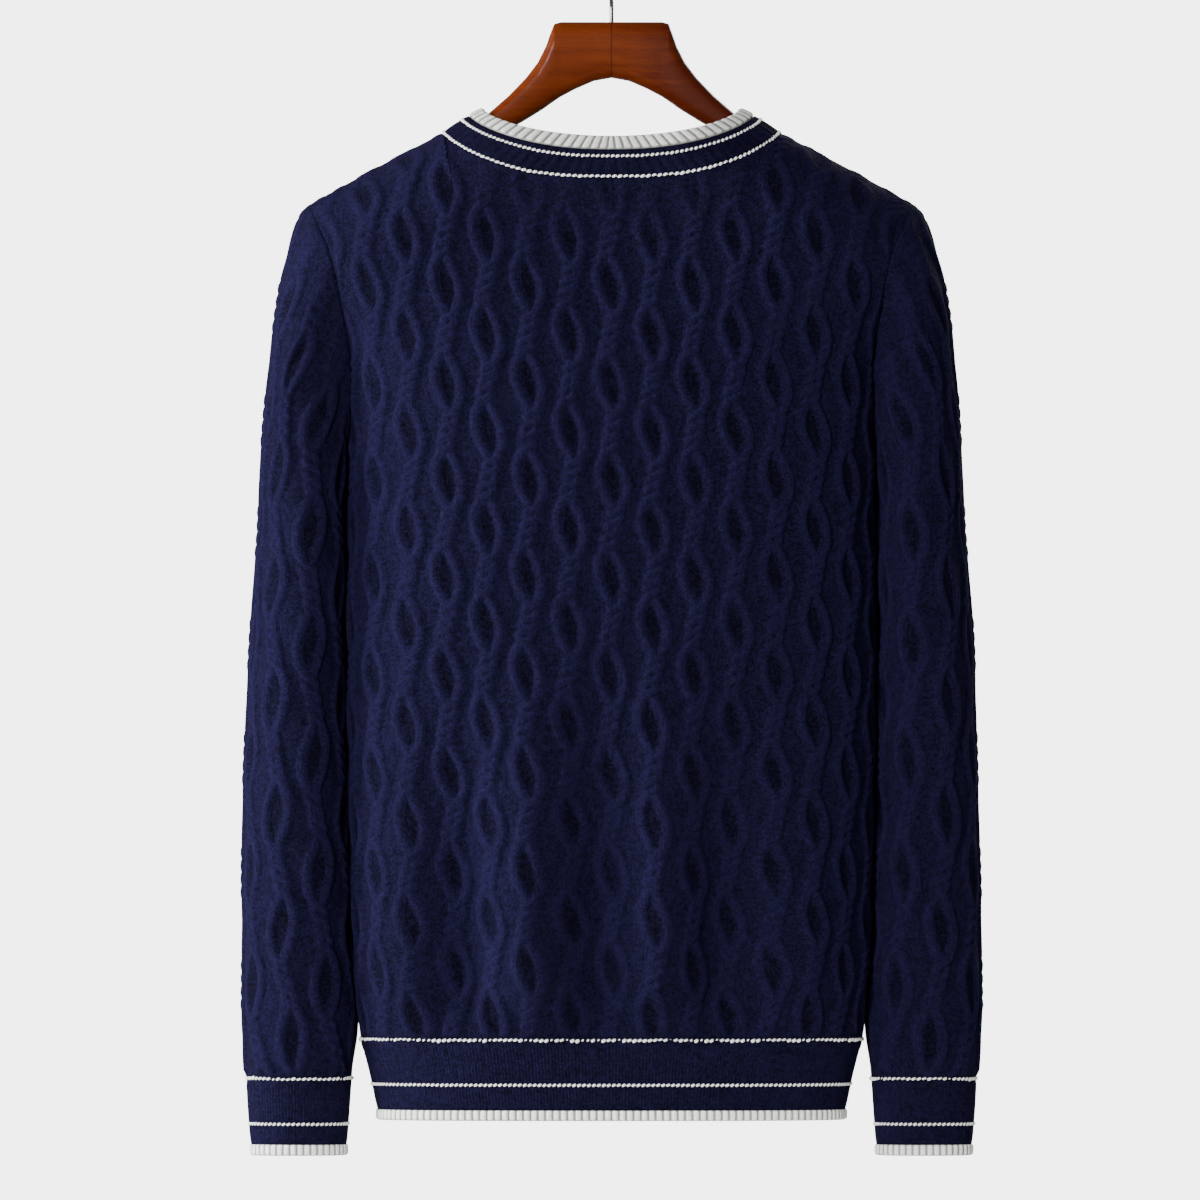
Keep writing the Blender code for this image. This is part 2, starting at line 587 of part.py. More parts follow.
class Sleeve:
    """A sleeve's form: rails from the armhole seam over a rounded cap, then hanging ovals.

    The flat coordinates are u, round the sleeve from the outer side, and w, a height that is
    the true height below the cap and runs up along each rail above it.
    """

    def __init__(self, hand):
        self.hand = hand
        self.ring = armhole_ring(hand, 0.0)
        steps = np.linalg.norm(np.diff(self.ring, axis=0), axis=1)
        arc = np.concatenate([[0.0], np.cumsum(steps)])
        half = arc[ARMHOLE_SEGMENTS]
        tail = arc[ARMHOLE_SEGMENTS:] - half
        self.ring_share = np.concatenate([arc[:ARMHOLE_SEGMENTS] / half - 1, tail / tail[-1]])
        self.levels = np.linspace(CUFF_SEAM_HEIGHT, SLEEVE_TOP_RING, SLEEVE_LEVELS)
        sections = [sleeve_section(hand, z, SLEEVE_ROWS) for z in self.levels]
        self.sections = np.array([ring for ring, _ in sections])
        self.half_girths = np.array([girth / 2 for _, girth in sections])
        self.rail_shares = np.linspace(-1.0, 1.0, RAIL_COUNT)
        alpha = np.linspace(0.0, 1.0, 4 * RAIL_STEPS)
        rails = self.cap_point(self.rail_shares[:, None], alpha[None, :])
        arcs = np.cumsum(np.linalg.norm(np.diff(rails, axis=1), axis=2), axis=1)
        arcs = np.concatenate([np.zeros((RAIL_COUNT, 1)), arcs], axis=1)
        self.rail_lengths = arcs[:, -1]
        even = np.linspace(0.0, 1.0, RAIL_STEPS)
        self.rail_places = np.array([np.interp(even * a[-1], a, alpha) for a in arcs])

    def half_girth(self, w):
        return np.interp(w, self.levels, self.half_girths)

    def rail_length(self, share):
        return np.interp(share, self.rail_shares, self.rail_lengths)

    def rail_place(self, share, fraction):
        """Place on a rail's curve at a fraction of its length from the armhole."""
        row = (share + 1) / 2 * (RAIL_COUNT - 1)
        column = fraction * (RAIL_STEPS - 1)
        r = np.clip(row.astype(int), 0, RAIL_COUNT - 2)
        c = np.clip(column.astype(int), 0, RAIL_STEPS - 2)
        fr, fc = row - r, column - c
        grid = self.rail_places
        near = grid[r, c] * (1 - fc) + grid[r, c + 1] * fc
        far = grid[r + 1, c] * (1 - fc) + grid[r + 1, c + 1] * fc
        return near * (1 - fr) + far * fr

    def along_ring(self, share):
        return np.stack([np.interp(share, self.ring_share, self.ring[:, k]) for k in range(3)], -1)

    def on_section(self, share, w):
        """Point on the hanging ovals at a share of the half girth and a height."""
        row = np.interp(w, self.levels, np.arange(len(self.levels)))
        column = (np.asarray(share) + 1) / 2 * (SLEEVE_SECTION_POINTS - 1)
        row, column = np.broadcast_arrays(row, column)
        r = np.clip(row.astype(int), 0, len(self.levels) - 2)
        c = np.clip(column.astype(int), 0, SLEEVE_SECTION_POINTS - 2)
        fr, fc = (row - r)[..., None], (column - c)[..., None]
        grid = self.sections
        lower = grid[r, c] * (1 - fc) + grid[r, c + 1] * fc
        upper = grid[r + 1, c] * (1 - fc) + grid[r + 1, c + 1] * fc
        return lower * (1 - fr) + upper * fr

    def cap_point(self, share, alpha):
        """Point on the rounded cap: a quadratic curve from the armhole to the top oval."""
        share, alpha = np.broadcast_arrays(share, alpha)
        start = self.along_ring(share)
        end = self.on_section(share, SLEEVE_TOP_RING)
        run = end - start
        inward = np.abs(share)
        reach = CAP_REACH_OUTER + (CAP_REACH_INNER - CAP_REACH_OUTER) * inward
        pull = np.stack([reach, np.full_like(reach, CAP_SIDE_PULL), CAP_DROP * (1 - inward)], -1)
        control = start + run * pull
        a = alpha[..., None]
        return (1 - a) ** 2 * start + 2 * a * (1 - a) * control + a * a * end

    def at(self, share, w):
        """Point at a share of the half girth (-1 to 1 round the sleeve) and a height."""
        share = (np.asarray(share) + 1) % 2 - 1
        share, w = np.broadcast_arrays(share, w)
        fraction = np.clip(1 - (w - SLEEVE_TOP_RING) / self.rail_length(share), 0.0, 1.0)
        alpha = self.rail_place(share, fraction)
        on_cap = (w > SLEEVE_TOP_RING)[..., None]
        return np.where(on_cap, self.cap_point(share, alpha), self.on_section(share, w))

    def normal(self, share, w):
        """Outward direction of the sleeve's face."""
        step = NORMAL_STEP_UP
        limit = SLEEVE_TOP_RING + self.rail_length((share + 1) % 2 - 1)
        w = np.clip(w, CUFF_SEAM_HEIGHT + step, limit - step)
        side = self.at(share + NORMAL_STEP_ROUND, w) - self.at(share - NORMAL_STEP_ROUND, w)
        up = self.at(share, w + step) - self.at(share, w - step)
        facing = np.cross(side, up) * self.hand
        return facing / np.linalg.norm(facing, axis=-1)[..., None]

    def lifted(self, u, w, lift):
        """Flat points carried on to the sleeve and moved out by lift."""
        share = u / self.half_girth(w)
        return self.at(share, w) + self.normal(share, w) * np.asarray(lift)[..., None]

    def turn_points(self):
        """Flat points in two rows below the armhole, where the cap turns out of it."""
        shares = self.ring_share[1:-1]
        top_half = float(self.half_girth(SLEEVE_TOP_RING))
        edge = SLEEVE_TOP_RING + self.rail_length(shares)
        rows = [np.stack([shares * top_half, edge - drop], axis=-1) for drop in TURN_ROWS]
        return np.concatenate(rows)

    def turn_lines(self, arm_start):
        """Lines that tie the first row of turn points to the armhole, as wall_solid takes them."""
        count = len(self.ring_share) - 2
        lines = []
        for i in range(count):
            seam = arm_start + count - i
            lines.append((i, -1 - seam))
            lines.append((i, -1 - (seam - 1)))
            if i + 1 < count:
                lines.append((i, i + 1))
        return lines

    def outline(self):
        """Flat outline: cuff seam, underarm seam, armhole, and the underarm seam again."""
        bottom = self.half_girth(CUFF_SEAM_HEIGHT)
        cuff = [(u, CUFF_SEAM_HEIGHT) for u in np.linspace(-bottom, bottom, CUFF_SEGMENTS + 1)]
        heights = list(np.linspace(CUFF_SEAM_HEIGHT, SLEEVE_TOP_RING, SIDE_SEGMENTS + 1)[1:])
        underarm = SLEEVE_TOP_RING + float(self.rail_length(1.0))
        heights += [underarm - drop for drop in reversed(TURN_ROWS)]
        right = [(float(self.half_girth(h)), float(h)) for h in heights]
        top_half = float(self.half_girth(SLEEVE_TOP_RING))
        arm = [(s * top_half, SLEEVE_TOP_RING + float(self.rail_length(s)))
               for s in self.ring_share[::-1]]
        left = [(-u, h) for u, h in reversed(right)]
        return np.array(cuff + right + arm + left)


def build_sleeve(name, hand):
    """One sleeve, from the armhole seam to the cuff seam."""
    sleeve = Sleeve(hand)
    outline = sleeve.outline()
    seam_count = SIDE_SEGMENTS + len(TURN_ROWS)
    arm_start = CUFF_SEGMENTS + 1 + seam_count
    arm_count = len(sleeve.ring_share)
    last_arm = arm_start + arm_count - 1
    shared = set(range(CUFF_SEGMENTS, arm_start)) | set(range(last_arm, len(outline)))
    inner_ring = armhole_ring(hand, -WALL)[::-1]

    def outer_of(flat, lifts):
        return sleeve.lifted(flat[:, 0], flat[:, 1], lifts)

    def inner_of(flat, count):
        points = sleeve.lifted(flat[:, 0], flat[:, 1], np.full(len(flat), -WALL))
        points[arm_start:arm_start + arm_count] = inner_ring
        level = flat[:, 1] <= CUFF_SEAM_HEIGHT
        points[level, 2] = CUFF_SEAM_HEIGHT
        return points

    first_oval = SLEEVE_TOP_RING + SLEEVE_PERIOD / 2
    turns = sleeve.turn_points()
    return wall_solid(name, outline, (outer_of, inner_of), (SLEEVE_PERIOD, first_oval),
                      (turns, turns), sleeve.turn_lines(arm_start), shared, weld=SEAM_WELD)


def ring_solid(name, rings, colour, roughness):
    """A closed band: its rings run down the outer face and up the inner one."""
    vertices = np.concatenate(rings)
    starts = np.concatenate([[0], np.cumsum([len(ring) for ring in rings])])
    numbers = [list(range(starts[i], starts[i + 1])) for i in range(len(rings))]
    shares = [ring_shares(ring) for ring in rings]
    faces = []
    for i in range(len(rings)):
        j = (i + 1) % len(rings)
        if len(rings[i]) == len(rings[j]):
            even = np.arange(len(rings[i]) + 1) / len(rings[i])
            faces += bridge(numbers[i], numbers[j], even, even)
        else:
            faces += bridge(numbers[i], numbers[j], shares[i], shares[j])
    return solid(name, vertices, faces, colour, roughness)


def neck_seam_ring(lift):
    """The neckline on the band's side: along the back from -X to +X, then along the front."""
    back_flat = neckline(BACK, SEAM_GAP)
    front_flat = neckline(FRONT, SEAM_GAP)[::-1]
    back = panel_point(BACK, back_flat[:, 0], back_flat[:, 1], lift)
    front = panel_point(FRONT, front_flat[:, 0], front_flat[:, 1], lift)
    back[[0, -1], 1] = 0.0
    return np.concatenate([back, front[1:-1]])


def neck_ring(share, lift, places=None):
    """Ring across the neckband: share 0 at its seam, 1 at its top edge.

    It has the neckline's samples, or points at the given places along its length.
    """
    seam = neck_seam_ring(0.0)
    quarter = neck_turns()
    turn = np.concatenate([quarter, math.pi + quarter[1:-1]])
    away = np.abs(np.cos(turn))
    reach, hang = away ** NECK_ROUND, away ** NECK_HANG
    front = np.arange(len(turn)) > NECK_SEGMENTS
    depth = np.where(front, NECK_TOP[FRONT][0], -NECK_TOP[BACK][0])
    low = np.where(front, NECK_TOP[FRONT][1], NECK_TOP[BACK][1])
    z = NECK_TOP_SIDE_HEIGHT + (low - NECK_TOP_SIDE_HEIGHT) * hang
    top = np.stack([NECK_TOP_HALF_WIDTH * np.sin(turn), depth * reach, z], axis=-1)
    across = top - seam
    around = np.roll(seam, -1, axis=0) - np.roll(seam, 1, axis=0)
    out = np.cross(around, across)
    out /= np.linalg.norm(out, axis=1)[:, None]
    ring = seam + across * share + out * NECK_BULGE * 4 * share * (1 - share)
    if places is None:
        return ring + out * lift
    closed = np.concatenate([ring, ring[:1]])
    facing = np.concatenate([out, out[:1]])
    arc = np.concatenate([[0.0], np.cumsum(np.linalg.norm(np.diff(closed, axis=0), axis=1))])
    at = np.asarray(places) * arc[-1]
    point = np.stack([np.interp(at, arc, closed[:, k]) for k in range(3)], axis=-1)
    normal = np.stack([np.interp(at, arc, facing[:, k]) for k in range(3)], axis=-1)
    return point + normal * np.asarray(lift)[:, None]


def rib_places(length, pitch):
    """Places round a band, two to each rib, and the lifts of their crests and furrows."""
    ribs = int(round(length / pitch))
    places = np.arange(2 * ribs) / (2 * ribs)
    return places, np.where(np.arange(2 * ribs) % 2 == 0, RIB_RISE, 0.0)


def ring_length(ring):
    return float(np.sum(np.linalg.norm(np.roll(ring, -1, axis=0) - ring, axis=1)))


def build_neck():
    """The navy neckband round the neckline and its narrow white ribbed edge."""
    split = 1 - NECK_EDGE_SHARE
    middle_back = NECK_SEGMENTS // 2
    gap = SEAM_GAP / math.dist(neck_seam_ring(0.0)[middle_back], neck_ring(1.0, 0.0)[middle_back])
    outer = [neck_seam_ring(0.0), neck_ring(split / 2, 0.0), neck_ring(split, 0.0)]
    inner = [neck_ring(split, -WALL), neck_ring(split / 2, -WALL), neck_seam_ring(-WALL)]
    ring_solid("neckband", outer + inner, NAVY, 0.9)
    low = split + gap
    ribs, lifts = rib_places(ring_length(neck_ring(1.0, 0.0)), EDGE_RIB_PITCH["neck"])
    rings = [
        neck_ring(low, -WALL),
        neck_ring(1.0, -WALL),
        neck_ring(1.0, 0.0),
        neck_ring((low + 1) / 2, lifts, ribs),
        neck_ring(low, 0.0),
    ]
    ring_solid("neck_edge", rings, WHITE_WOOL, 0.9)


def body_ring(rows, height, places, lift=0.0):
    """Level ring of the body's rounded section at places round it, from the -X side seam."""
    places = np.asarray(places, dtype=float)
    on_back = places <= 0.5
    across = np.where(on_back, 4 * places - 1, 3 - 4 * places) * HALF_PANEL
    angle = np.interp(np.abs(across), BODY_ARCS, BODY_ANGLES)
    reach = np.sin(angle) ** (2 / SECTION_POWER)
    share = np.clip(np.cos(angle), 0.0, 1.0) ** (2 / SECTION_POWER)
    width = table_curve(rows, "half_width", height) + lift
    back = table_curve(rows, "back_depth", height) + lift
    front = table_curve(rows, "front_depth", height) + lift
    x = np.sign(across) * width * reach
    y = np.where(on_back, -back * share, front * share)
    return np.stack([x, y, np.full(places.shape, float(height))], axis=-1)


def hem_seam_ring(lift):
    """The hem seam on the band's side."""
    across = np.linspace(-HALF_PANEL, HALF_PANEL, HEM_SEGMENTS + 1)
    back = panel_point(BACK, across, HEM_SEAM_HEIGHT, lift)
    front = panel_point(FRONT, across[::-1], HEM_SEAM_HEIGHT, lift)
    back[[0, -1], 1] = 0.0
    ring = np.concatenate([back, front[1:-1]])
    ring[:, 2] -= SEAM_GAP
    return ring


def build_hem():
    """The navy rib band below the body and its white ribbed edge."""
    places = np.arange(2 * HEM_SEGMENTS) / (2 * HEM_SEGMENTS)
    heights = [row.height for row in HEM_BAND_ROWS]
    outer = [hem_seam_ring(0.0)] + [body_ring(HEM_BAND_ROWS, h, places) for h in heights]
    inner = [body_ring(HEM_BAND_ROWS, h, places, -WALL) for h in (heights[-1], heights[0])]
    ring_solid("hem_band", outer + inner + [hem_seam_ring(-WALL)], NAVY, 0.9)
    top = heights[-1] - SEAM_GAP
    ribs, lifts = rib_places(ring_length(outer[-1]), EDGE_RIB_PITCH["hem"])
    middle = body_ring(HEM_BAND_ROWS, heights[-1], ribs, lifts)
    middle[:, 2] = (top + HEM_BOTTOM) / 2
    rings = []
    for height, lift in ((top, 0.0), (HEM_BOTTOM, 0.0), (HEM_BOTTOM, -WALL), (top, -WALL)):
        ring = body_ring(HEM_BAND_ROWS, heights[-1], places, lift)
        ring[:, 2] = height
        rings.append(ring)
    rings.insert(1, middle)
    ring_solid("hem_edge", rings, WHITE_WOOL, 0.9)


def oval_ring(hand, rows, height, places, lift=0.0):
    """Level ring of a cuff at places round it, starting on its inner side."""
    section, _ = sleeve_section(hand, height, rows)
    middle = section.mean(axis=0)
    at = np.asarray(places) * (SLEEVE_SECTION_POINTS - 1)
    knots = np.arange(SLEEVE_SECTION_POINTS)
    ring = np.stack([np.interp(at, knots, section[:, k]) for k in range(3)], axis=-1)
    away = ring - middle
    return ring + away / np.linalg.norm(away, axis=1)[:, None] * np.reshape(lift, (-1, 1))


def build_cuff(side_name, hand):
    """A navy cuff below the sleeve and its white ribbed edge."""
    sleeve = Sleeve(hand)
    places = np.arange(CUFF_SEGMENTS) / CUFF_SEGMENTS
    share = 2 * places - 1

    def seam(lift):
        level = np.full(share.shape, CUFF_SEAM_HEIGHT)
        ring = sleeve.lifted(share * sleeve.half_girth(CUFF_SEAM_HEIGHT), level, level * 0 + lift)
        ring[:, 2] = CUFF_SEAM_HEIGHT - SEAM_GAP
        return ring

    heights = [row.height for row in CUFF_ROWS]
    outer = [seam(0.0)] + [oval_ring(hand, CUFF_ROWS, h, places) for h in heights]
    inner = [oval_ring(hand, CUFF_ROWS, h, places, -WALL) for h in (heights[-1], heights[0])]
    ring_solid("cuff_" + side_name, outer + inner + [seam(-WALL)], NAVY, 0.9)
    top = heights[-1] - SEAM_GAP
    ribs, lifts = rib_places(ring_length(outer[-1]), EDGE_RIB_PITCH["cuff"])
    middle = oval_ring(hand, CUFF_ROWS, heights[-1], ribs, lifts)
    middle[:, 2] = (top + CUFF_BOTTOM) / 2
    rings = []
    for height, lift in ((top, 0.0), (CUFF_BOTTOM, 0.0), (CUFF_BOTTOM, -WALL), (top, -WALL)):
        ring = oval_ring(hand, CUFF_ROWS, heights[-1], places, lift)
        ring[:, 2] = height
        rings.append(ring)
    rings.insert(1, middle)
    ring_solid("cuff_edge_" + side_name, rings, WHITE_WOOL, 0.9)


def wood_rows():
    """Sections of one hanger half from the glue seam out to the arm's end."""
    rows = list(NECK_WOOD_ROWS)
    start = rows[-1].across
    for step in range(1, ARM_SLOPE_SECTIONS + 1):
        share = step / ARM_SLOPE_SECTIONS
        across = start + (ARM_END - start) * share
        top = float(ridge_height(across)) - ARM_COVER
        depth = NECK_WOOD_ROWS[-1].half_depth * (1 - share) + ARM_HALF_DEPTH_END * share
        rows.append(WoodRow(across, top, top - ARM_HEIGHT, depth))
    return rows


def build_hanger_half(name, hand):
    """Half of the wooden hanger: a tall neck piece that runs out into a sloping arm."""
    rows = wood_rows()
    last = rows[-1]
    middle = (last.top + last.bottom) / 2
    for out, scale in ARM_END_ROUNDING:
        half = (last.top - last.bottom) / 2 * scale
        rows.append(WoodRow(last.across + out, middle + half, middle - half,
                            last.half_depth * scale))
    turn = np.arange(WOOD_SECTION_SIDES) / WOOD_SECTION_SIDES * 2 * math.pi
    c, s = np.cos(turn), np.sin(turn)
    shape_y = np.sign(s) * np.abs(s) ** (2 / WOOD_SECTION_POWER)
    shape_z = np.sign(c) * np.abs(c) ** (2 / WOOD_SECTION_POWER)
    rings = []
    for row in rows:
        z = (row.top + row.bottom) / 2 + (row.top - row.bottom) / 2 * shape_z
        x = np.full(WOOD_SECTION_SIDES, hand * row.across)
        rings.append(np.stack([x, row.half_depth * shape_y, z], axis=-1))
    return capped_tube(name, rings, MAHOGANY, 0.25)


def capped_tube(name, rings, colour, roughness, metallic=0.0):
    """A solid through equal rings, with a flat cap on each end."""
    count = len(rings[0])
    numbers = [list(range(i * count, (i + 1) * count)) for i in range(len(rings))]
    faces = []
    even = np.arange(count + 1) / count
    for first, second in zip(numbers, numbers[1:]):
        faces += bridge(first, second, even, even)
    for ring in (numbers[0], numbers[-1]):
        faces += [(ring[0], ring[i], ring[i + 1]) for i in range(1, count - 1)]
    return solid(name, np.concatenate(rings), faces, colour, roughness, metallic)


def build_hook():
    """A wire hook in the YZ plane: stem, a bend, and an open loop under the rail."""
    loop_centre = -(HOOK_RADIUS - HOOK_WIRE)
    angles = np.linspace(HOOK_START_ANGLE, HOOK_END_ANGLE, HOOK_ARC_STEPS + 1)
    arc = [(HOOK_RADIUS * math.cos(a), loop_centre + HOOK_RADIUS * math.sin(a)) for a in angles]
    stem_top, start = (0.0, HOOK_STEM_TOP), arc[0]
    reach = (start[1] - HOOK_STEM_TOP) * HOOK_BEND_REACH
    heading = (-math.sin(HOOK_START_ANGLE), math.cos(HOOK_START_ANGLE))
    controls = (stem_top, (0.0, HOOK_STEM_TOP + reach),
                (start[0] - heading[0] * reach, start[1] - heading[1] * reach), start)
    bend = []
    for i in range(HOOK_BEND_STEPS):
        t = i / HOOK_BEND_STEPS
        weights = ((1 - t) ** 3, 3 * t * (1 - t) ** 2, 3 * t * t * (1 - t), t**3)
        bend.append(tuple(sum(w * p[k] for w, p in zip(weights, controls)) for k in range(2)))
    path = np.array([(0.0, WOOD_TOP + SEAM_GAP)] + bend + arc)
    along = np.gradient(path, axis=0)
    along /= np.linalg.norm(along, axis=1)[:, None]
    along[0] = (0.0, 1.0)
    turn = np.arange(HOOK_SIDES) / HOOK_SIDES * 2 * math.pi
    rings = []
    for (y, z), (dy, dz) in zip(path, along):
        x = HOOK_WIRE * np.cos(turn)
        side = HOOK_WIRE * np.sin(turn)
        rings.append(np.stack([x, y + dz * side, z - dy * side], axis=-1))
    return capped_tube("hanger_hook", rings, STEEL, 0.3, 1.0)


def main():
    for item in list(bpy.data.objects):
        bpy.data.objects.remove(item, do_unlink=True)
    build_panel("back_panel", BACK)
    build_panel("front_panel", FRONT)
    for side_name, hand in (("left", -1), ("right", 1)):
        build_sleeve("sleeve_" + side_name, hand)
        build_cuff(side_name, hand)
        build_hanger_half("hanger_" + side_name, hand)
    build_neck()
    build_hem()
    build_hook()


main()
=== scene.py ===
import math
from collections import namedtuple

import bmesh
import bpy
import numpy as np
from bpy.props import FloatProperty, FloatVectorProperty, IntProperty, PointerProperty
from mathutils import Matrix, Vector


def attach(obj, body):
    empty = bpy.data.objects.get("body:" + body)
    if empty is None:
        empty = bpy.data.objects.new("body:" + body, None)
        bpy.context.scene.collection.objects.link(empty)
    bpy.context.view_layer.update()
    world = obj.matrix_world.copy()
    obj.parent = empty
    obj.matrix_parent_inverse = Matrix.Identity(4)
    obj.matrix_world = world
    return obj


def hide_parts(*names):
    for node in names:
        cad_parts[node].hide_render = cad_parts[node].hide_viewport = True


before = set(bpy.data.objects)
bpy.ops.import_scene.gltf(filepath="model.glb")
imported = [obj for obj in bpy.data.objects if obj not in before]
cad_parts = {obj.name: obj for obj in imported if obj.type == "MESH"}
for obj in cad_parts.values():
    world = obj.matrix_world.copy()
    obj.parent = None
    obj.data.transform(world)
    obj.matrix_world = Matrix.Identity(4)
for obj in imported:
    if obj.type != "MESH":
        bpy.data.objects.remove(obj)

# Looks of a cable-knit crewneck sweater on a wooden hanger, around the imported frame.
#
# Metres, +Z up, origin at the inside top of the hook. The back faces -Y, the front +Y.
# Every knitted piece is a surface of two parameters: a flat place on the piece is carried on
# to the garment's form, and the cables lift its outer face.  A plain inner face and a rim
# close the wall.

bl_info = {
    "name": "Cable-knit sweater on a hanger",
    "version": (1, 0, 0),
    "blender": (4, 5, 0),
    "location": "3D View > Sidebar > Sweater",
    "description": "Builds the knitted pieces, trims, hanger and studio round the frame",
    "category": "Object",
}

BACK, FRONT = -1, 1

# Form of the garment

# Pieces run this far into each other at a seam, so that no light comes through
SEAM_LAP = 0.0003
HEM_SEAM_HEIGHT = -0.7405
SECTION_POWER = 2.8
CREST_DROP = 0.060
CREST_RUN = CREST_DROP * math.pi / 2
CREST_EXTRA = CREST_RUN - CREST_DROP
NECK_HALF_WIDTH = 0.1132
NECK_POINT_HEIGHT = -0.1325
NECK_CURVE_POWER = 2.7
NECK_LOW = {BACK: -0.1635, FRONT: -0.2150}
SHOULDER_SLOPE = 0.538
SHOULDER_TIP = 0.2045
SHOULDER_BOW = 0.0006
SHOULDER_FULLNESS = 0.2280
SHOULDER_ASIDE = 0.45
UNDERARM_HEIGHT = -0.385
FLARE_FROM, FLARE_TO = -0.300, -0.190
OVAL_CENTRE_HEIGHT = -0.2345

Section = namedtuple("Section", "height half_width back_depth front_depth")
BODY_SECTIONS = [
    Section(-0.7405, 0.1685, 0.0690, 0.0740),
    Section(-0.7000, 0.1725, 0.0760, 0.0810),
    Section(-0.6200, 0.1756, 0.0830, 0.0870),
    Section(-0.5000, 0.1780, 0.0880, 0.0915),
    Section(-0.3800, 0.1775, 0.0900, 0.0930),
    Section(-0.3000, 0.1780, 0.0870, 0.0910),
    Section(-0.2500, 0.1790, 0.0790, 0.0860),
    Section(-0.2000, 0.1800, 0.0680, 0.0790),
    Section(-0.1600, 0.1800, 0.0590, 0.0700),
    Section(-0.1250, 0.1800, 0.0540, 0.0600),
]
REFERENCE_SECTION = Section(-0.3800, 0.1770, 0.0900, 0.0930)

Armhole = namedtuple("Armhole", "height inset")
ARMHOLE_ROWS = [
    Armhole(-0.1900, 0.0296),
    Armhole(-0.2166, 0.0366),
    Armhole(-0.2455, 0.0366),
    Armhole(-0.2784, 0.0350),
    Armhole(-0.3200, 0.0310),
    Armhole(-0.3500, 0.0245),
    Armhole(-0.3720, 0.0145),
    Armhole(UNDERARM_HEIGHT, 0.0),
]

# Hanging folds: middle, spread, depth (a hollow where it is negative) and the height they start at
Fold = namedtuple("Fold", "across spread depth top")
FOLDS = {
    BACK: [
        Fold(-0.150, 0.024, 0.0045, -0.50),
        Fold(-0.108, 0.024, -0.0050, -0.45),
        Fold(-0.052, 0.028, 0.0055, -0.42),
        Fold(-0.012, 0.024, -0.0060, -0.46),
        Fold(0.032, 0.025, 0.0055, -0.43),
        Fold(0.081, 0.024, -0.0055, -0.48),
        Fold(0.138, 0.026, 0.0045, -0.52),
    ],
    FRONT: [
        Fold(-0.128, 0.026, 0.0050, -0.47),
        Fold(-0.078, 0.026, -0.0050, -0.50),
        Fold(-0.020, 0.030, 0.0055, -0.41),
        Fold(0.034, 0.026, -0.0055, -0.45),
        Fold(0.092, 0.028, 0.0050, -0.44),
        Fold(0.146, 0.024, -0.0040, -0.52),
    ],
}
FOLD_FULL_HEIGHT = HEM_SEAM_HEIGHT + 0.05
FOLD_LOSS_AT_HEM = 0.6
# Away from the seams, the panels take up this many times the folds once more
FOLD_MORE = 1.7

SleeveRow = namedtuple("SleeveRow", "height outer inner half_depth")
SLEEVE_ROWS = [
    SleeveRow(-0.4000, 0.2362, 0.1856, 0.0640),
    SleeveRow(-0.4600, 0.2410, 0.1840, 0.0600),
    SleeveRow(-0.5400, 0.2442, 0.1814, 0.0540),
    SleeveRow(-0.6200, 0.2462, 0.1795, 0.0480),
    SleeveRow(-0.7000, 0.2468, 0.1770, 0.0420),
    SleeveRow(-0.7420, 0.2466, 0.1735, 0.0380),
    SleeveRow(-0.7677, 0.2450, 0.1745, 0.0330),
]
SLEEVE_TOP_RING = SLEEVE_ROWS[0].height
CUFF_SEAM_HEIGHT = SLEEVE_ROWS[-1].height
SLEEVE_POWER = 2.2
SLEEVE_CENTRE_Y = 0.004
LEANS_FROM, LEANS_TO = -0.765, -0.715
# Where sleeve and body lean on each other, the cables fade over this distance
LEANING_ROOM = 0.028
# Where the cap's inner control points lie on the way to the top oval, as shares of X, Y and Z
CAP_PULLS_OUTSIDE = ((0.28, 0.10, 0.045), (0.54, 0.30, 0.16), (0.90, 0.60, 0.48))
CAP_PULLS_INSIDE = ((0.50, 0.15, 0.0), (0.90, 0.35, 0.15), (1.0, 0.65, 0.50))

BandRow = namedtuple("BandRow", "height half_width back_depth front_depth")
HEM_BAND_ROWS = [
    BandRow(-0.7450, 0.1672, 0.0690, 0.0735),
    BandRow(-0.7600, 0.1632, 0.0672, 0.0715),
    BandRow(-0.7740, 0.1600, 0.0658, 0.0702),
    BandRow(-0.7882, 0.1572, 0.0655, 0.0700),
]
HEM_BOTTOM = -0.7952
HEM_LINE_HEIGHT = -0.7712
HEM_MEASURED_AT = -0.77
HEM_SEAM_RUN = 0.004
CUFF_ROWS = [
    SleeveRow(-0.7725, 0.2450, 0.1752, 0.0315),
    SleeveRow(-0.7900, 0.2440, 0.1764, 0.0300),
    SleeveRow(-0.8120, 0.2422, 0.1780, 0.0290),
]
CUFF_BOTTOM = -0.8194
CUFF_LINE_HEIGHT = -0.7982
CUFF_MEASURED_AT = -0.79
NECK_TOP_HALF_WIDTH = 0.0858
NECK_TOP_SIDE_HEIGHT = -0.1162
NECK_TOP = {BACK: (0.0490, -0.1352), FRONT: (0.0640, -0.1885)}
NECK_ROUND = 0.80
NECK_HANG = 1.35
NECK_EDGE_FROM = 0.66
NECK_EDGE_GAP = 0.008
NECK_LINE_SHARE = 0.50
NECK_SEAM_LINE_SHARE = 0.035
NECK_BULGE = 0.0010

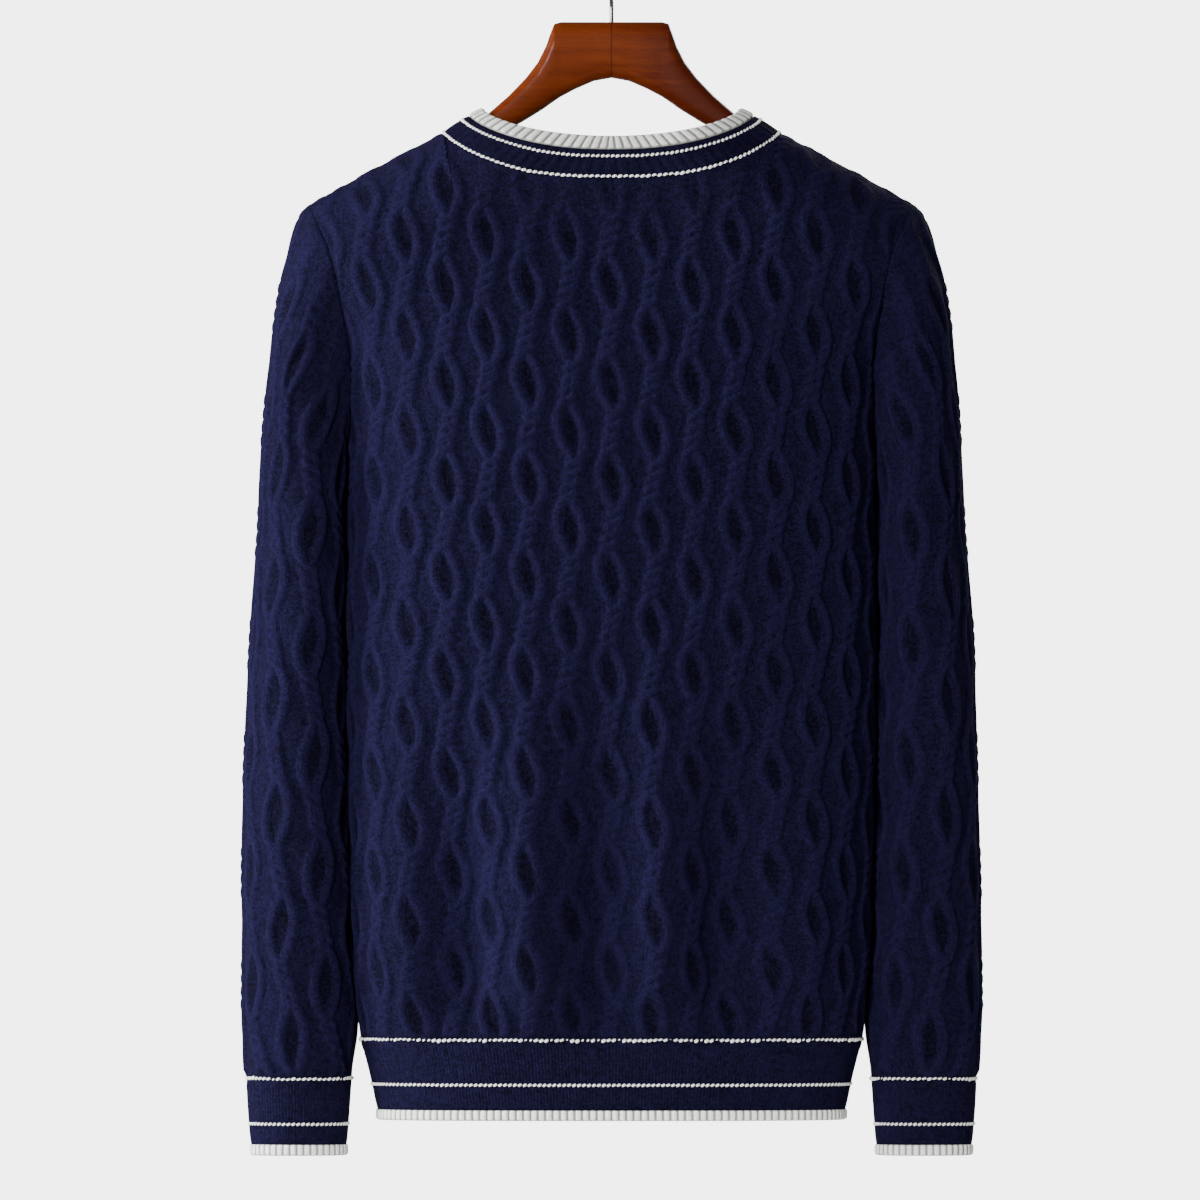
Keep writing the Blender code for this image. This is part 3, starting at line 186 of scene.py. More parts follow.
WoodRow = namedtuple("WoodRow", "across top bottom half_depth")
WOOD_TOP = -0.0580
NECK_WOOD_ROWS = [
    WoodRow(0.00015, WOOD_TOP, -0.0956, 0.0100),
    WoodRow(0.0120, WOOD_TOP, -0.0978, 0.0100),
    WoodRow(0.0240, WOOD_TOP, -0.1030, 0.0102),
    WoodRow(0.0340, WOOD_TOP, -0.1083, 0.0104),
    WoodRow(0.0385, -0.0592, -0.1113, 0.0106),
    WoodRow(0.0412, -0.0660, -0.1132, 0.0107),
    WoodRow(0.0440, -0.0741, -0.1153, 0.0108),
    WoodRow(0.0494, -0.0849, -0.1188, 0.0110),
    WoodRow(0.0575, -0.0956, -0.1238, 0.0113),
    WoodRow(0.0690, -0.1075, -0.1305, 0.0118),
    WoodRow(0.0790, -0.1162, -0.1362, 0.0122),
    WoodRow(0.0900, -0.1256, -0.1430, 0.0126),
    WoodRow(0.1000, -0.1318, -0.1494, 0.0130),
]
ARM_END = 0.1760
ARM_COVER = 0.0040
ARM_HEIGHT = 0.0200
ARM_HALF_DEPTH_END = 0.0165
ARM_SLOPE_SECTIONS = 7
ARM_END_ROUNDING = ((0.0030, 0.86), (0.0048, 0.50))
# The two halves of the hanger run this far into each other
GLUE_LINE = 0.00004
WOOD_SLICES = 120
CORNER_ANGLE = math.radians(48)
MERGE_DISTANCE = 1e-6
HOOK_WIRE = 0.0014
HOOK_SIDES, HOOK_ARC_POINTS, HOOK_BEND_POINTS = 16, 60, 24
HOOK_RADIUS = 0.0210
HOOK_START_ANGLE, HOOK_END_ANGLE = math.radians(-58), math.radians(205)
HOOK_STEM_TOP = -0.0500
HOOK_BEND_REACH = 0.45


class KnitSettings(bpy.types.PropertyGroup):
    """Sizes and colours of the knitting."""

    wall: FloatProperty(name="Cloth", description="Thickness of the plain knit",
                        default=0.0026, min=0.001, unit="LENGTH")
    rise: FloatProperty(name="Cable rise", description="Height of a cable strand over the ground",
                        default=0.0027, min=0.0, unit="LENGTH")
    pitch: FloatProperty(name="Column pitch", description="Distance between columns of cables",
                         default=0.0274, min=0.01, unit="LENGTH")
    body_period: FloatProperty(name="Body period", description="Height of one oval and one rope",
                               default=0.0655, min=0.02, unit="LENGTH")
    sleeve_period: FloatProperty(name="Sleeve period", description="The same on the sleeves",
                                 default=0.0760, min=0.02, unit="LENGTH")
    step_across: FloatProperty(name="Step across", description="Grid step across the columns",
                               default=0.0016, min=0.0008, unit="LENGTH")
    step_along: FloatProperty(name="Step along", description="Grid step along the columns",
                              default=0.0020, min=0.001, unit="LENGTH")
    stitch_width: FloatProperty(name="Stitch width", description="Width of one knit stitch",
                                default=0.0017, min=0.0005, unit="LENGTH")
    stitch_height: FloatProperty(name="Stitch height", description="Height of one knit stitch",
                                 default=0.0013, min=0.0005, unit="LENGTH")
    navy: FloatVectorProperty(name="Navy", description="Colour of the main yarn", size=4,
                              subtype="COLOR", default=(0.0078, 0.0064, 0.0270, 1))
    # Painted shade: the navy darkens to this between the cables and inside the ovals
    navy_painted_shade: FloatVectorProperty(name="Navy in the ground", size=4, subtype="COLOR",
                                    description="Colour of the yarn deep between the cables",
                                    default=(0.0015, 0.0014, 0.0033, 1))
    white: FloatVectorProperty(name="Off-white", description="Colour of the edges and lines",
                               size=4, subtype="COLOR", default=(0.90, 0.90, 0.87, 1))


class TrimSettings(bpy.types.PropertyGroup):
    """Sizes of the ribs and white lines."""

    fine_rib: FloatProperty(name="Navy rib", description="Pitch of the ribs of hem and cuffs",
                            default=0.0021, min=0.001, unit="LENGTH")
    neck_rib: FloatProperty(name="Neck rib", description="Pitch of the ribs of the neckband",
                            default=0.0068, min=0.001, unit="LENGTH")
    edge_rib: FloatProperty(name="Edge rib", description="Pitch of the white ribs",
                            default=0.0048, min=0.001, unit="LENGTH")
    edge_rise: FloatProperty(name="Edge rib rise", description="Height of a white rib",
                             default=0.0008, min=0.0, unit="LENGTH")
    bead: FloatProperty(name="Bead pitch", description="Length of one stitch of a white line",
                        default=0.0033, min=0.001, unit="LENGTH")
    line_radius: FloatProperty(name="Line radius", description="Half thickness of a white line",
                               default=0.00100, min=0.0003, unit="LENGTH")


class HangerSettings(bpy.types.PropertyGroup):
    """Finish of the hanger."""

    wood: FloatVectorProperty(name="Wood", description="Colour of the stained wood", size=4,
                              subtype="COLOR", default=(0.074, 0.0120, 0.0011, 1))
    # The grain colour is also the painted shade that darkens the hanger towards the right
    grain: FloatVectorProperty(name="Grain", description="Colour of the dark grain", size=4,
                               subtype="COLOR", default=(0.032, 0.0036, 0.0003, 1))
    section_power: FloatProperty(name="Section", description="Squareness of the wood's section",
                                 default=3.2, min=2.0, max=8.0)
    sides: IntProperty(name="Sides", description="Points round the wood's section", default=40)


class StageSettings(bpy.types.PropertyGroup):
    """Camera, light and floor."""

    distance: FloatProperty(name="Camera distance", description="From the camera to the hanger",
                            default=16.0, min=1.0, unit="LENGTH")
    view_width: FloatProperty(name="View width", description="Width of the view at the hanger",
                              default=0.8064, min=0.1, unit="LENGTH")
    aside: FloatProperty(name="Camera aside", description="Camera's place along X",
                         default=-0.0077, unit="LENGTH")
    camera_height: FloatProperty(name="Camera height", description="Camera's place along Z",
                                 default=-0.4464, unit="LENGTH")
    key_power: FloatProperty(name="Key light", description="Power of the light from the left",
                             default=330.0, min=0.0, unit="POWER")
    fill_power: FloatProperty(name="Fill light", description="Power of the light from the front",
                              default=205.0, min=0.0, unit="POWER")
    surround: FloatProperty(name="Surround", description="Strength of the studio's even light",
                            default=0.60, min=0.0)
    backdrop: FloatProperty(name="Backdrop", description="Brightness of the pale backdrop",
                            default=4.9, min=0.0)
    floor_height: FloatProperty(name="Floor height", description="Height of the floor",
                                default=-1.25, unit="LENGTH")
    floor_radius: FloatProperty(name="Floor radius", description="Radius of the round floor",
                                default=2.4, unit="LENGTH")


# The garment's form

def table_curve(rows, column, height):
    """Smooth value of a table's column at a height: a cubic through the rows."""
    ordered = sorted(rows, key=lambda row: row.height)
    knots = np.array([row.height for row in ordered])
    values = np.array([getattr(row, column) for row in ordered])
    slopes = np.gradient(values, knots)
    at = np.clip(np.asarray(height, dtype=float), knots[0], knots[-1])
    i = np.clip(np.searchsorted(knots, at) - 1, 0, len(knots) - 2)
    step = knots[i + 1] - knots[i]
    t = (at - knots[i]) / step
    return ((2 * t**3 - 3 * t**2 + 1) * values[i] + (t**3 - 2 * t**2 + t) * step * slopes[i]
            + (3 * t**2 - 2 * t**3) * values[i + 1] + (t**3 - t**2) * step * slopes[i + 1])


def smooth_step(value, low, high):
    """0 at low, 1 at high, with level ends."""
    t = np.clip((np.asarray(value, dtype=float) - low) / (high - low), 0.0, 1.0)
    return t * t * (3 - 2 * t)


def unit(vectors):
    """Vectors scaled to length 1."""
    return vectors / np.linalg.norm(vectors, axis=-1, keepdims=True)


def signed_power(value, power):
    """A value's size to a power, with the value's sign."""
    return np.sign(value) * np.abs(value) ** power


def arc_lengths(points):
    """Length along a line up to each of its points."""
    return np.concatenate([[0.0], np.cumsum(np.linalg.norm(np.diff(points, axis=0), axis=1))])


def points_at(points, arc, at):
    """Points of a line where the measure along it, arc, has the values of at."""
    return np.stack([np.interp(at, arc, points[:, k]) for k in range(points.shape[1])], axis=-1)


def ring_length(ring):
    """Length all round a ring of points."""
    return float(np.sum(np.linalg.norm(np.roll(ring, -1, axis=0) - ring, axis=1)))


def section_arcs(half_width, depth, power, count=4000):
    """Angle and arc length along a quarter of a rounded section."""
    angle = np.linspace(0.0, math.pi / 2, count)
    x = half_width * np.sin(angle) ** (2 / power)
    y = depth * np.cos(angle) ** (2 / power)
    return angle, np.concatenate([[0.0], np.cumsum(np.hypot(np.diff(x), np.diff(y)))])


BODY_ANGLES, BODY_ARCS = section_arcs(
    REFERENCE_SECTION.half_width, REFERENCE_SECTION.back_depth, SECTION_POWER)
HALF_PANEL = float(BODY_ARCS[-1])


def section_shares(across):
    """Shares of the body's half width and of its depth at a place across a panel."""
    angle = np.interp(np.abs(across), BODY_ARCS, BODY_ANGLES)
    power = 2 / SECTION_POWER
    return np.sin(angle) ** power, np.clip(np.cos(angle), 0.0, 1.0) ** power


def ridge_height(across):
    """Height of the shoulder ridge above a place across the panel, with a slight bow."""
    run = np.abs(across) - NECK_HALF_WIDTH
    bow = SHOULDER_BOW * np.sin(math.pi * np.clip(run / (SHOULDER_TIP - NECK_HALF_WIDTH), 0, 1))
    return NECK_POINT_HEIGHT - SHOULDER_SLOPE * run + bow


def fold_lift(side, across, height):
    """How far the hanging folds push the cloth out at a place on the panel."""
    lift = np.zeros(np.broadcast(across, height).shape)
    down = -np.asarray(height)
    for fold in FOLDS[side]:
        ramp = smooth_step(down, -fold.top, -FOLD_FULL_HEIGHT)
        lift = lift + fold.depth * ramp * np.exp(-((across - fold.across) / fold.spread) ** 2)
    return lift * (1 - FOLD_LOSS_AT_HEM * smooth_step(down, -FOLD_FULL_HEIGHT, -HEM_SEAM_HEIGHT))


def panel_point(side, across, height, lift=0.0):
    """A flat place of a panel on the body, lifted off it by lift.

    Across runs round a rounded section, height stays as it is, and over the shoulder the
    panel turns along a quarter ellipse to the ridge.
    """
    across = np.asarray(across, dtype=float)
    height = np.asarray(height, dtype=float)
    ridge = ridge_height(across)
    drop = ridge + CREST_EXTRA - height
    turn = np.clip(drop / CREST_RUN, 0.0, 1.0) * math.pi / 2
    crest = ridge - CREST_DROP * (1 - np.cos(turn)) + lift * np.cos(turn)
    z = np.where(drop < CREST_RUN, crest, height)
    reach, share = section_shares(across)
    flare = smooth_step(z, FLARE_FROM, FLARE_TO)
    full = np.sqrt(np.clip(1 - (np.abs(across) / SHOULDER_FULLNESS) ** 4, 0.0, 1.0))
    share = (1 - flare) * share + flare * full
    width = table_curve(BODY_SECTIONS, "half_width", z)
    aside = (1 - flare) * reach + flare * SHOULDER_ASIDE
    x = np.sign(across) * ((1 - flare) * width * reach + flare * np.abs(across) + lift * aside)
    column = "back_depth" if side == BACK else "front_depth"
    depth = table_curve(BODY_SECTIONS, column, z) + lift + fold_lift(side, across, z)
    y = side * (depth * share * np.sin(turn))
    return np.stack(np.broadcast_arrays(x, y, z), axis=-1)


def move_outline(points, offset):
    """Move an open flat outline to its left by offset."""
    along = unit(np.gradient(points, axis=0))
    return points + offset * np.stack([-along[:, 1], along[:, 0]], axis=-1)


def neckline(side, count, offset=0.0):
    """Flat points of a panel's neckline from -X to +X: a rounded curve between the shoulders."""
    share = np.linspace(-1.0, 1.0, count)
    turn = math.pi / 2 * np.sign(share) * (1 - (1 - np.abs(share)) ** 2)
    top = NECK_POINT_HEIGHT + CREST_EXTRA
    across = NECK_HALF_WIDTH * signed_power(np.sin(turn), 2 / NECK_CURVE_POWER)
    rise = 1 - np.clip(np.cos(turn), 0.0, 1.0) ** (2 / NECK_CURVE_POWER)
    height = NECK_LOW[side] + (top - NECK_LOW[side]) * rise
    return turn, move_outline(np.stack([across, height], axis=-1), offset)


def armhole_rows():
    """The armhole's inset table with the shoulder tip on top."""
    top = float(ridge_height(SHOULDER_TIP)) + CREST_EXTRA
    return [Armhole(top, HALF_PANEL - SHOULDER_TIP)] + ARMHOLE_ROWS


def along_line(points, count):
    """An open line's points, set evenly along its length."""
    arc = arc_lengths(points)
    return points_at(points, arc, np.linspace(0.0, arc[-1], count))


def armhole_ring(hand, half_count=200):
    """The armhole seam on the sleeve's side, from underarm over the back, tip and front."""
    rows = armhole_rows()
    height = np.linspace(rows[0].height, UNDERARM_HEIGHT, 2000)
    across = HALF_PANEL - table_curve(rows, "inset", height)
    flat = move_outline(along_line(np.stack([across, height], axis=-1), half_count), -SEAM_LAP)
    back = panel_point(BACK, hand * flat[:, 0], flat[:, 1])[::-1]
    front = panel_point(FRONT, hand * flat[:, 0], flat[:, 1])
    ring = np.concatenate([back, front[1:]])
    ring[[0, half_count - 1, -1], 1] = 0.0
    return ring


def oval_section(hand, height, rows, count=193):
    """Closed oval of a sleeve or cuff from its inner side over the back, outside and front.

    Above the hem the sleeve leans on the body's side.
    """
    outer, inner, depth = (table_curve(rows, c, height) for c in ("outer", "inner", "half_depth"))
    leans = smooth_step(height, LEANS_FROM, LEANS_TO)
    body_side = table_curve(BODY_SECTIONS, "half_width", height) - 2 * SEAM_LAP
    inner = inner + (body_side - inner) * leans
    angle = np.linspace(-math.pi, math.pi, 4 * count + 1)
    power = 2 / SLEEVE_POWER
    x = (outer + inner) / 2 + (outer - inner) / 2 * signed_power(np.cos(angle), power)
    y = SLEEVE_CENTRE_Y + depth * signed_power(np.sin(angle), power)
    flat = along_line(np.stack([hand * x, y], axis=-1), count)
    girth = float(arc_lengths(flat)[-1])
    return np.concatenate([flat, np.full((count, 1), float(height))], axis=1), girth


def grid_value(grid, row, column):
    """Value of a grid between its points, by its four neighbours."""
    row, column = np.broadcast_arrays(row, column)
    r = np.clip(row.astype(int), 0, grid.shape[0] - 2)
    c = np.clip(column.astype(int), 0, grid.shape[1] - 2)
    fr, fc = row - r, column - c
    if grid.ndim == 3:
        fr, fc = fr[..., None], fc[..., None]
    near = grid[r, c] * (1 - fc) + grid[r, c + 1] * fc
    far = grid[r + 1, c] * (1 - fc) + grid[r + 1, c + 1] * fc
    return near * (1 - fr) + far * fr


class Sleeve:
    """A sleeve's form: rails from the armhole seam over a rounded cap, then hanging ovals."""

    def __init__(self, hand, rails=81, steps=65):
        self.hand = hand
        self.ring = armhole_ring(hand)
        half = (len(self.ring) + 1) // 2
        arc = arc_lengths(self.ring)
        before, after = arc[:half], arc[half - 1:] - arc[half - 1]
        self.ring_share = np.concatenate([before / before[-1] - 1, (after / after[-1])[1:]])
        self.levels = np.linspace(CUFF_SEAM_HEIGHT, SLEEVE_TOP_RING, 60)
        made = [oval_section(hand, z, SLEEVE_ROWS) for z in self.levels]
        self.sections = np.array([ring for ring, _ in made])
        self.half_girths = np.array([girth / 2 for _, girth in made])
        self.rail_shares = np.linspace(-1.0, 1.0, rails)
        place = np.linspace(0.0, 1.0, 4 * steps)
        curves = self.cap_point(self.rail_shares[:, None], place[None, :])
        arcs = np.cumsum(np.linalg.norm(np.diff(curves, axis=1), axis=2), axis=1)
        arcs = np.concatenate([np.zeros((rails, 1)), arcs], axis=1)
        self.rail_lengths = arcs[:, -1]
        even = np.linspace(0.0, 1.0, steps)
        self.rail_places = np.array([np.interp(even * a[-1], a, place) for a in arcs])

    def half_girth(self, w):
        """Half the way round the sleeve at a height."""
        return np.interp(w, self.levels, self.half_girths)

    def rail_length(self, share):
        """Length of a rail over the cap."""
        return np.interp(share, self.rail_shares, self.rail_lengths)

    def on_section(self, share, w):
        """Point on the hanging ovals at a share of the half girth and a height."""
        row = np.interp(w, self.levels, np.arange(len(self.levels)))
        column = (np.asarray(share) + 1) / 2 * (self.sections.shape[1] - 1)
        return grid_value(self.sections, row, column)

    def cap_point(self, share, place):
        """A rounded curve from the armhole, out over the cap, to the top hanging oval.

        Its three inner control points lie at shares of the way along X, Y and Z, which change
        from the outside of the arm to its inside.
        """
        share, place = np.broadcast_arrays(share, place)
        start = points_at(self.ring, self.ring_share, share)
        end = self.on_section(share, SLEEVE_TOP_RING)
        inward = np.abs(share)[..., None]
        a = place[..., None]
        point = (1 - a) ** 4 * start + a**4 * end
        for i, (outside, inside) in enumerate(zip(CAP_PULLS_OUTSIDE, CAP_PULLS_INSIDE), 1):
            pull = np.array(outside) * (1 - inward) + np.array(inside) * inward
            weight = (4, 6, 4)[i - 1] * a**i * (1 - a) ** (4 - i)
            point = point + weight * (start + (end - start) * pull)
        return point

    def at(self, share, w):
        """Point at a share of the half girth (-1 to 1 round the sleeve) and a rail height."""
        share = (np.asarray(share) + 1) % 2 - 1
        share, w = np.broadcast_arrays(share, w)
        part = np.clip(1 - (w - SLEEVE_TOP_RING) / self.rail_length(share), 0.0, 1.0)
        row = (share + 1) / 2 * (len(self.rail_shares) - 1)
        place = grid_value(self.rail_places, row, part * (self.rail_places.shape[1] - 1))
        on_cap = (w > SLEEVE_TOP_RING)[..., None]
        return np.where(on_cap, self.cap_point(share, place), self.on_section(share, w))

    def normal(self, share, w):
        """Outward direction of the sleeve's face."""
        step, turn = 0.0015, 0.01
        limit = SLEEVE_TOP_RING + self.rail_length((share + 1) % 2 - 1)
        w = np.clip(w, CUFF_SEAM_HEIGHT + step, limit - step)
        side = self.at(share + turn, w) - self.at(share - turn, w)
        up = self.at(share, w + step) - self.at(share, w - step)
        return unit(np.cross(side, up) * self.hand)


def body_ring(height, places, lift=0.0):
    """Level rings of the hem band at places round it, from the -X side seam over the back.

    Just below the seam they turn into the panels' own lower edge.
    """
    places, height = np.broadcast_arrays(np.asarray(places, dtype=float), height)
    places = places % 1.0
    on_back = places <= 0.5
    across = np.where(on_back, 4 * places - 1, 3 - 4 * places) * HALF_PANEL
    reach, share = section_shares(across)
    width, back, front = (table_curve(HEM_BAND_ROWS, column, height) + lift
                          for column in ("half_width", "back_depth", "front_depth"))
    band = np.stack([np.sign(across) * width * reach,
                     np.where(on_back, -back * share, front * share), height], axis=-1)
    seam = np.where(on_back[..., None], panel_point(BACK, across, HEM_SEAM_HEIGHT, lift),
                    panel_point(FRONT, across, HEM_SEAM_HEIGHT, lift))
    below = HEM_BAND_ROWS[0].height - HEM_SEAM_RUN
    near = smooth_step(height, below, HEM_SEAM_HEIGHT)[..., None]
    mixed = band * (1 - near) + seam * near
    mixed[..., 2] = height
    return mixed


def cuff_ring(hand, height, places, lift=0.0):
    """Level rings of a cuff at places round it, starting on its inner side."""
    heights = np.asarray(height, dtype=float).reshape(-1)
    grid = np.array([oval_section(hand, h, CUFF_ROWS if h < CUFF_ROWS[0].height else
                                  CUFF_ROWS[:1] + SLEEVE_ROWS[-2:])[0] for h in heights])
    column = np.asarray(places) % 1.0 * (grid.shape[1] - 1)
    ring = grid_value(grid, np.arange(len(heights), dtype=float)[:, None], column)
    away = unit(ring - grid.mean(axis=1)[:, None])
    return ring + away * np.asarray(lift)[..., None]


def neck_frame(count=800):
    """Seam line, way to the top edge, and outward direction round the neckband."""
    turn_back, back_flat = neckline(BACK, count, -SEAM_LAP)
    _, front_flat = neckline(FRONT, count, -SEAM_LAP)
    front_flat = front_flat[::-1]
    back = panel_point(BACK, back_flat[:, 0], back_flat[:, 1])
    front = panel_point(FRONT, front_flat[:, 0], front_flat[:, 1])
    back[[0, -1], 1] = 0.0
    seam = np.concatenate([back, front[1:-1]])
    turn = np.concatenate([turn_back, math.pi + turn_back[1:-1]])
    away = np.abs(np.cos(turn))
    on_front = np.arange(len(turn)) >= count
    depth = np.where(on_front, NECK_TOP[FRONT][0], -NECK_TOP[BACK][0])
    low = np.where(on_front, NECK_TOP[FRONT][1], NECK_TOP[BACK][1])
    z = NECK_TOP_SIDE_HEIGHT + (low - NECK_TOP_SIDE_HEIGHT) * away ** NECK_HANG
    top = np.stack([NECK_TOP_HALF_WIDTH * np.sin(turn), depth * away ** NECK_ROUND, z], axis=-1)
    way = top - seam
    around = np.roll(seam, -1, axis=0) - np.roll(seam, 1, axis=0)
    out = unit(np.cross(around, way))
    return seam, way, unit(sum(np.roll(out, k, axis=0) for k in range(-12, 13)))


def neck_surface(share, lift, places):
    """Points of the neckband: shares from its seam to its top edge, places along its length."""
    seam, way, out = neck_frame()
    rings = [np.concatenate([ring, ring[:1]]) for ring in (seam + way * 0.5, seam, way, out)]
    arc = arc_lengths(rings[0])
    at = (np.asarray(places) % 1.0) * arc[-1]
    seam, way, out = (points_at(ring, arc, at) for ring in rings[1:])
    share = np.asarray(share, dtype=float)[..., None]
    lift = np.asarray(lift, dtype=float)[..., None]
    bulge = NECK_BULGE * 4 * share * (1 - share)
    return seam + way * share + out * (bulge + lift), float(arc[-1])


# Cables

OVAL_SHARE = 0.52
OVAL_REACH, OVAL_STRAND = 0.0084, 0.0041
ROPE_REACH, ROPE_STRAND = 0.0036, 0.0034
ROPE_STROKES = 4
ROPE_LEAN = 0.0024
# Height of a strand's crest, and how much it rises or sinks where it crosses the other
STRAND_LEVEL, CROSSING_RISE = 0.80, 0.26
WANDER = 0.0007


def cable_relief(across, height, period, first_oval, knit):
    """How high the cables stand, as a share of their rise, and how deep inside an oval a
    flat place lies, from 0 at its strands to 1 in its middle.

    Columns stand a pitch apart, each second one half a period lower. In each period two
    strands bow apart into an oval and then twist round each other into a rope. The column's
    middle swings from side to side, so the ropes lean. A strand's section is half an ellipse,
    and the higher of two crossing strands shows.
    """
    across = across + WANDER * (np.sin(height * 21.0 + across * 9.0) + 0.5 * np.sin(height * 57.0))
    height = height + WANDER * (np.sin(across * 37.0 + 0.8) + np.sin(height * 17.0))
    half_oval = period * OVAL_SHARE / 2
    rope = period - 2 * half_oval
    turns = math.pi * ROPE_STROKES / rope
    relief = np.zeros(across.shape)
    hollow = np.zeros(across.shape)
    nearest = np.floor(across / knit.pitch)
    for beside in (0, 1):
        column = nearest + beside
        start = first_oval - (column % 2) * period / 2
        y = (height - start + period / 2) % period - period / 2
        in_oval = np.abs(y) < half_oval
        part = np.clip(np.abs(y) / half_oval, 0.0, 1.0)
        past = np.clip(np.where(y > 0, y - half_oval, y + half_oval + rope), 0.0, rope)
        swing = np.where(in_oval, np.sin(math.pi / 2 * y / half_oval),
                         np.cos(math.pi * past / rope))
        x = across - column * knit.pitch + ROPE_LEAN * swing
        open_part = np.clip(1 - part**2, 1e-6, 1.0)
        spread = ROPE_REACH + (OVAL_REACH - ROPE_REACH) * open_part
        spread_slope = -(OVAL_REACH - ROPE_REACH) * 2 * part / half_oval
        phase = math.pi / 2 + turns * past
        for sign in (1.0, -1.0):
            sideways = sign * np.where(in_oval, spread, ROPE_REACH * np.sin(phase))
            slope = np.where(in_oval, spread_slope, ROPE_REACH * turns * np.cos(phase))
            above = np.where(in_oval, 0.0, sign * np.cos(phase))
            half = np.where(in_oval, OVAL_STRAND, ROPE_STRAND)
            off = np.abs(x - sideways) / np.sqrt(1 + slope**2) / half
            ridge = np.clip(1 - off**2, 0.0, 1.0) ** 0.5
            relief = np.maximum(relief, ridge * (STRAND_LEVEL + CROSSING_RISE * above))
        inner = np.clip(1 - (x / spread) ** 2, 0.0, 1.0) * open_part
        hollow = np.maximum(hollow, np.where(in_oval, inner, 0.0))
    return relief, hollow


def slow_waves(across, height, seed):
    """Soft uneven swells of the cloth, a sum of three long sine waves."""
    return (0.45 * np.sin(across * 23.0 + height * 11.0 + seed)
            + 0.35 * np.sin(height * 27.0 - across * 13.0 + 2.1 * seed)
            + 0.20 * np.sin(across * 47.0 + height * 31.0 + 0.7 * seed))


# Meshes

# The four corners of each quad of a grid
CORNERS = ((slice(0, -1), slice(0, -1)), (slice(0, -1), slice(1, None)),
           (slice(1, None), slice(1, None)), (slice(1, None), slice(0, -1)))


def add_piece(name, mesh, finish, replaces_node=True, merged=False):
    """A mesh made a smooth piece that faces out and rides on the root body.

    It replaces the node of its own name, if there is one. A merged one has its double points
    joined and its sharp edges kept.
    """
    body = bmesh.new()
    body.from_mesh(mesh)
    if merged:
        bmesh.ops.remove_doubles(body, verts=body.verts, dist=MERGE_DISTANCE)
    bmesh.ops.recalc_face_normals(body, faces=body.faces)
    body.to_mesh(mesh)
    body.free()
    mesh.shade_smooth()
    if merged:
        mesh.set_sharp_from_angle(angle=CORNER_ANGLE)
    mesh.materials.append(finish)
    piece = bpy.data.objects.new(name, mesh)
    bpy.context.scene.collection.objects.link(piece)
    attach(piece, "root")
    if replaces_node:
        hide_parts(name)
    return piece


class Surface:
    """Gathers grids and rims into one closed mesh with a UV map in metres and a relief value."""

    def __init__(self):
        self.points, self.relief, self.faces, self.corners = [], [], [], []
        self.count = 0

    def grid(self, points, uv, relief, wrap=False, close=False):
        """A grid of quads; uv has a column more where it wraps and a row more where it closes."""
        rows, columns = points.shape[:2]
        number = np.arange(rows * columns).reshape(rows, columns) + self.count
        self.points.append(points.reshape(-1, 3))
        self.relief.append(np.broadcast_to(relief, (rows, columns)).reshape(-1))
        self.count += rows * columns
        if close:
            number = np.concatenate([number, number[:1]])
        if wrap:
            number = np.concatenate([number, number[:, :1]], axis=1)
        self.faces.append(np.stack([number[c].ravel() for c in CORNERS], axis=-1))
        self.corners.append(np.stack([uv[c].reshape(-1, 2) for c in CORNERS], axis=1))
        return number, uv

    def rim(self, fine, coarse, ratio):
        """Triangles between a fine edge and a coarse one that has every ratio-th point.

        Each edge is the numbers of its points and their places in the UV map.
        """
        cell = np.arange(len(coarse[0]) - 1)
        step = np.arange(ratio)
        first = (cell[:, None] * ratio + step).ravel()
        apex = (cell[:, None] + (step >= ratio / 2)).ravel()
        middle = cell * ratio + int(math.ceil(ratio / 2))
        for corners in (((fine, first), (fine, first + 1), (coarse, apex)),
                        ((fine, middle), (coarse, cell + 1), (coarse, cell))):
            self.faces.append(np.stack([edge[0][at] for edge, at in corners], axis=-1))
            self.corners.append(np.stack([edge[1][at] for edge, at in corners], axis=1))

    def make(self, name, slot, finish, replaces_node=True):
        """The finished piece, with its UV map and relief."""
        mesh = bpy.data.meshes.new(name)
        faces = [face for block in self.faces for face in block.tolist()]
        mesh.from_pydata(np.concatenate(self.points).tolist(), [], faces)
        layer = mesh.uv_layers.new(name="flat")
        layer.data.foreach_set("uv", np.concatenate([c.reshape(-1) for c in self.corners]))
        # The knit finishes paint shade where this relief is low
        value = mesh.attributes.new("relief", "FLOAT", "POINT")
        value.data.foreach_set("value", np.concatenate(self.relief).astype(np.float32))
        return add_piece(name, mesh, finish, replaces_node)


def walled(outer, inner, uv, relief, ratio, wrap=False):
    """An outer grid, an inner one of every ratio-th point turned round, and a rim on each edge.

    A sheet has four edges, and a tube, which wraps, has two.
    """
    surface = Surface()
    fine, fine_uv = surface.grid(outer, uv, relief, wrap)
    coarse, coarse_uv = surface.grid(inner, uv[::ratio, ::ratio], 0.0, wrap)
    surface.faces[-1] = surface.faces[-1][:, ::-1]
    surface.corners[-1] = surface.corners[-1][:, ::-1]
    edges = [(0, slice(None)), (-1, slice(None))]
    if not wrap:
        edges += [(slice(None), 0), (slice(None), -1)]
    for pick in edges:
        surface.rim((fine[pick], fine_uv[pick]), (coarse[pick], coarse_uv[pick]), ratio)
    return surface


def whole(value, ratio):
    """The next count of steps that the ratio divides."""
    return int(math.ceil(value / ratio)) * ratio


def flat_area(x, y):
    """Flat area of a grid's quads, from the cross product of each one's diagonals."""
    ax, ay = x[1:, 1:] - x[:-1, :-1], y[1:, 1:] - y[:-1, :-1]
    bx, by = x[1:, :-1] - x[:-1, 1:], y[1:, :-1] - y[:-1, 1:]
    return float(np.sum(np.abs(ax * by - ay * bx)) / 2)


# Pieces of the garment

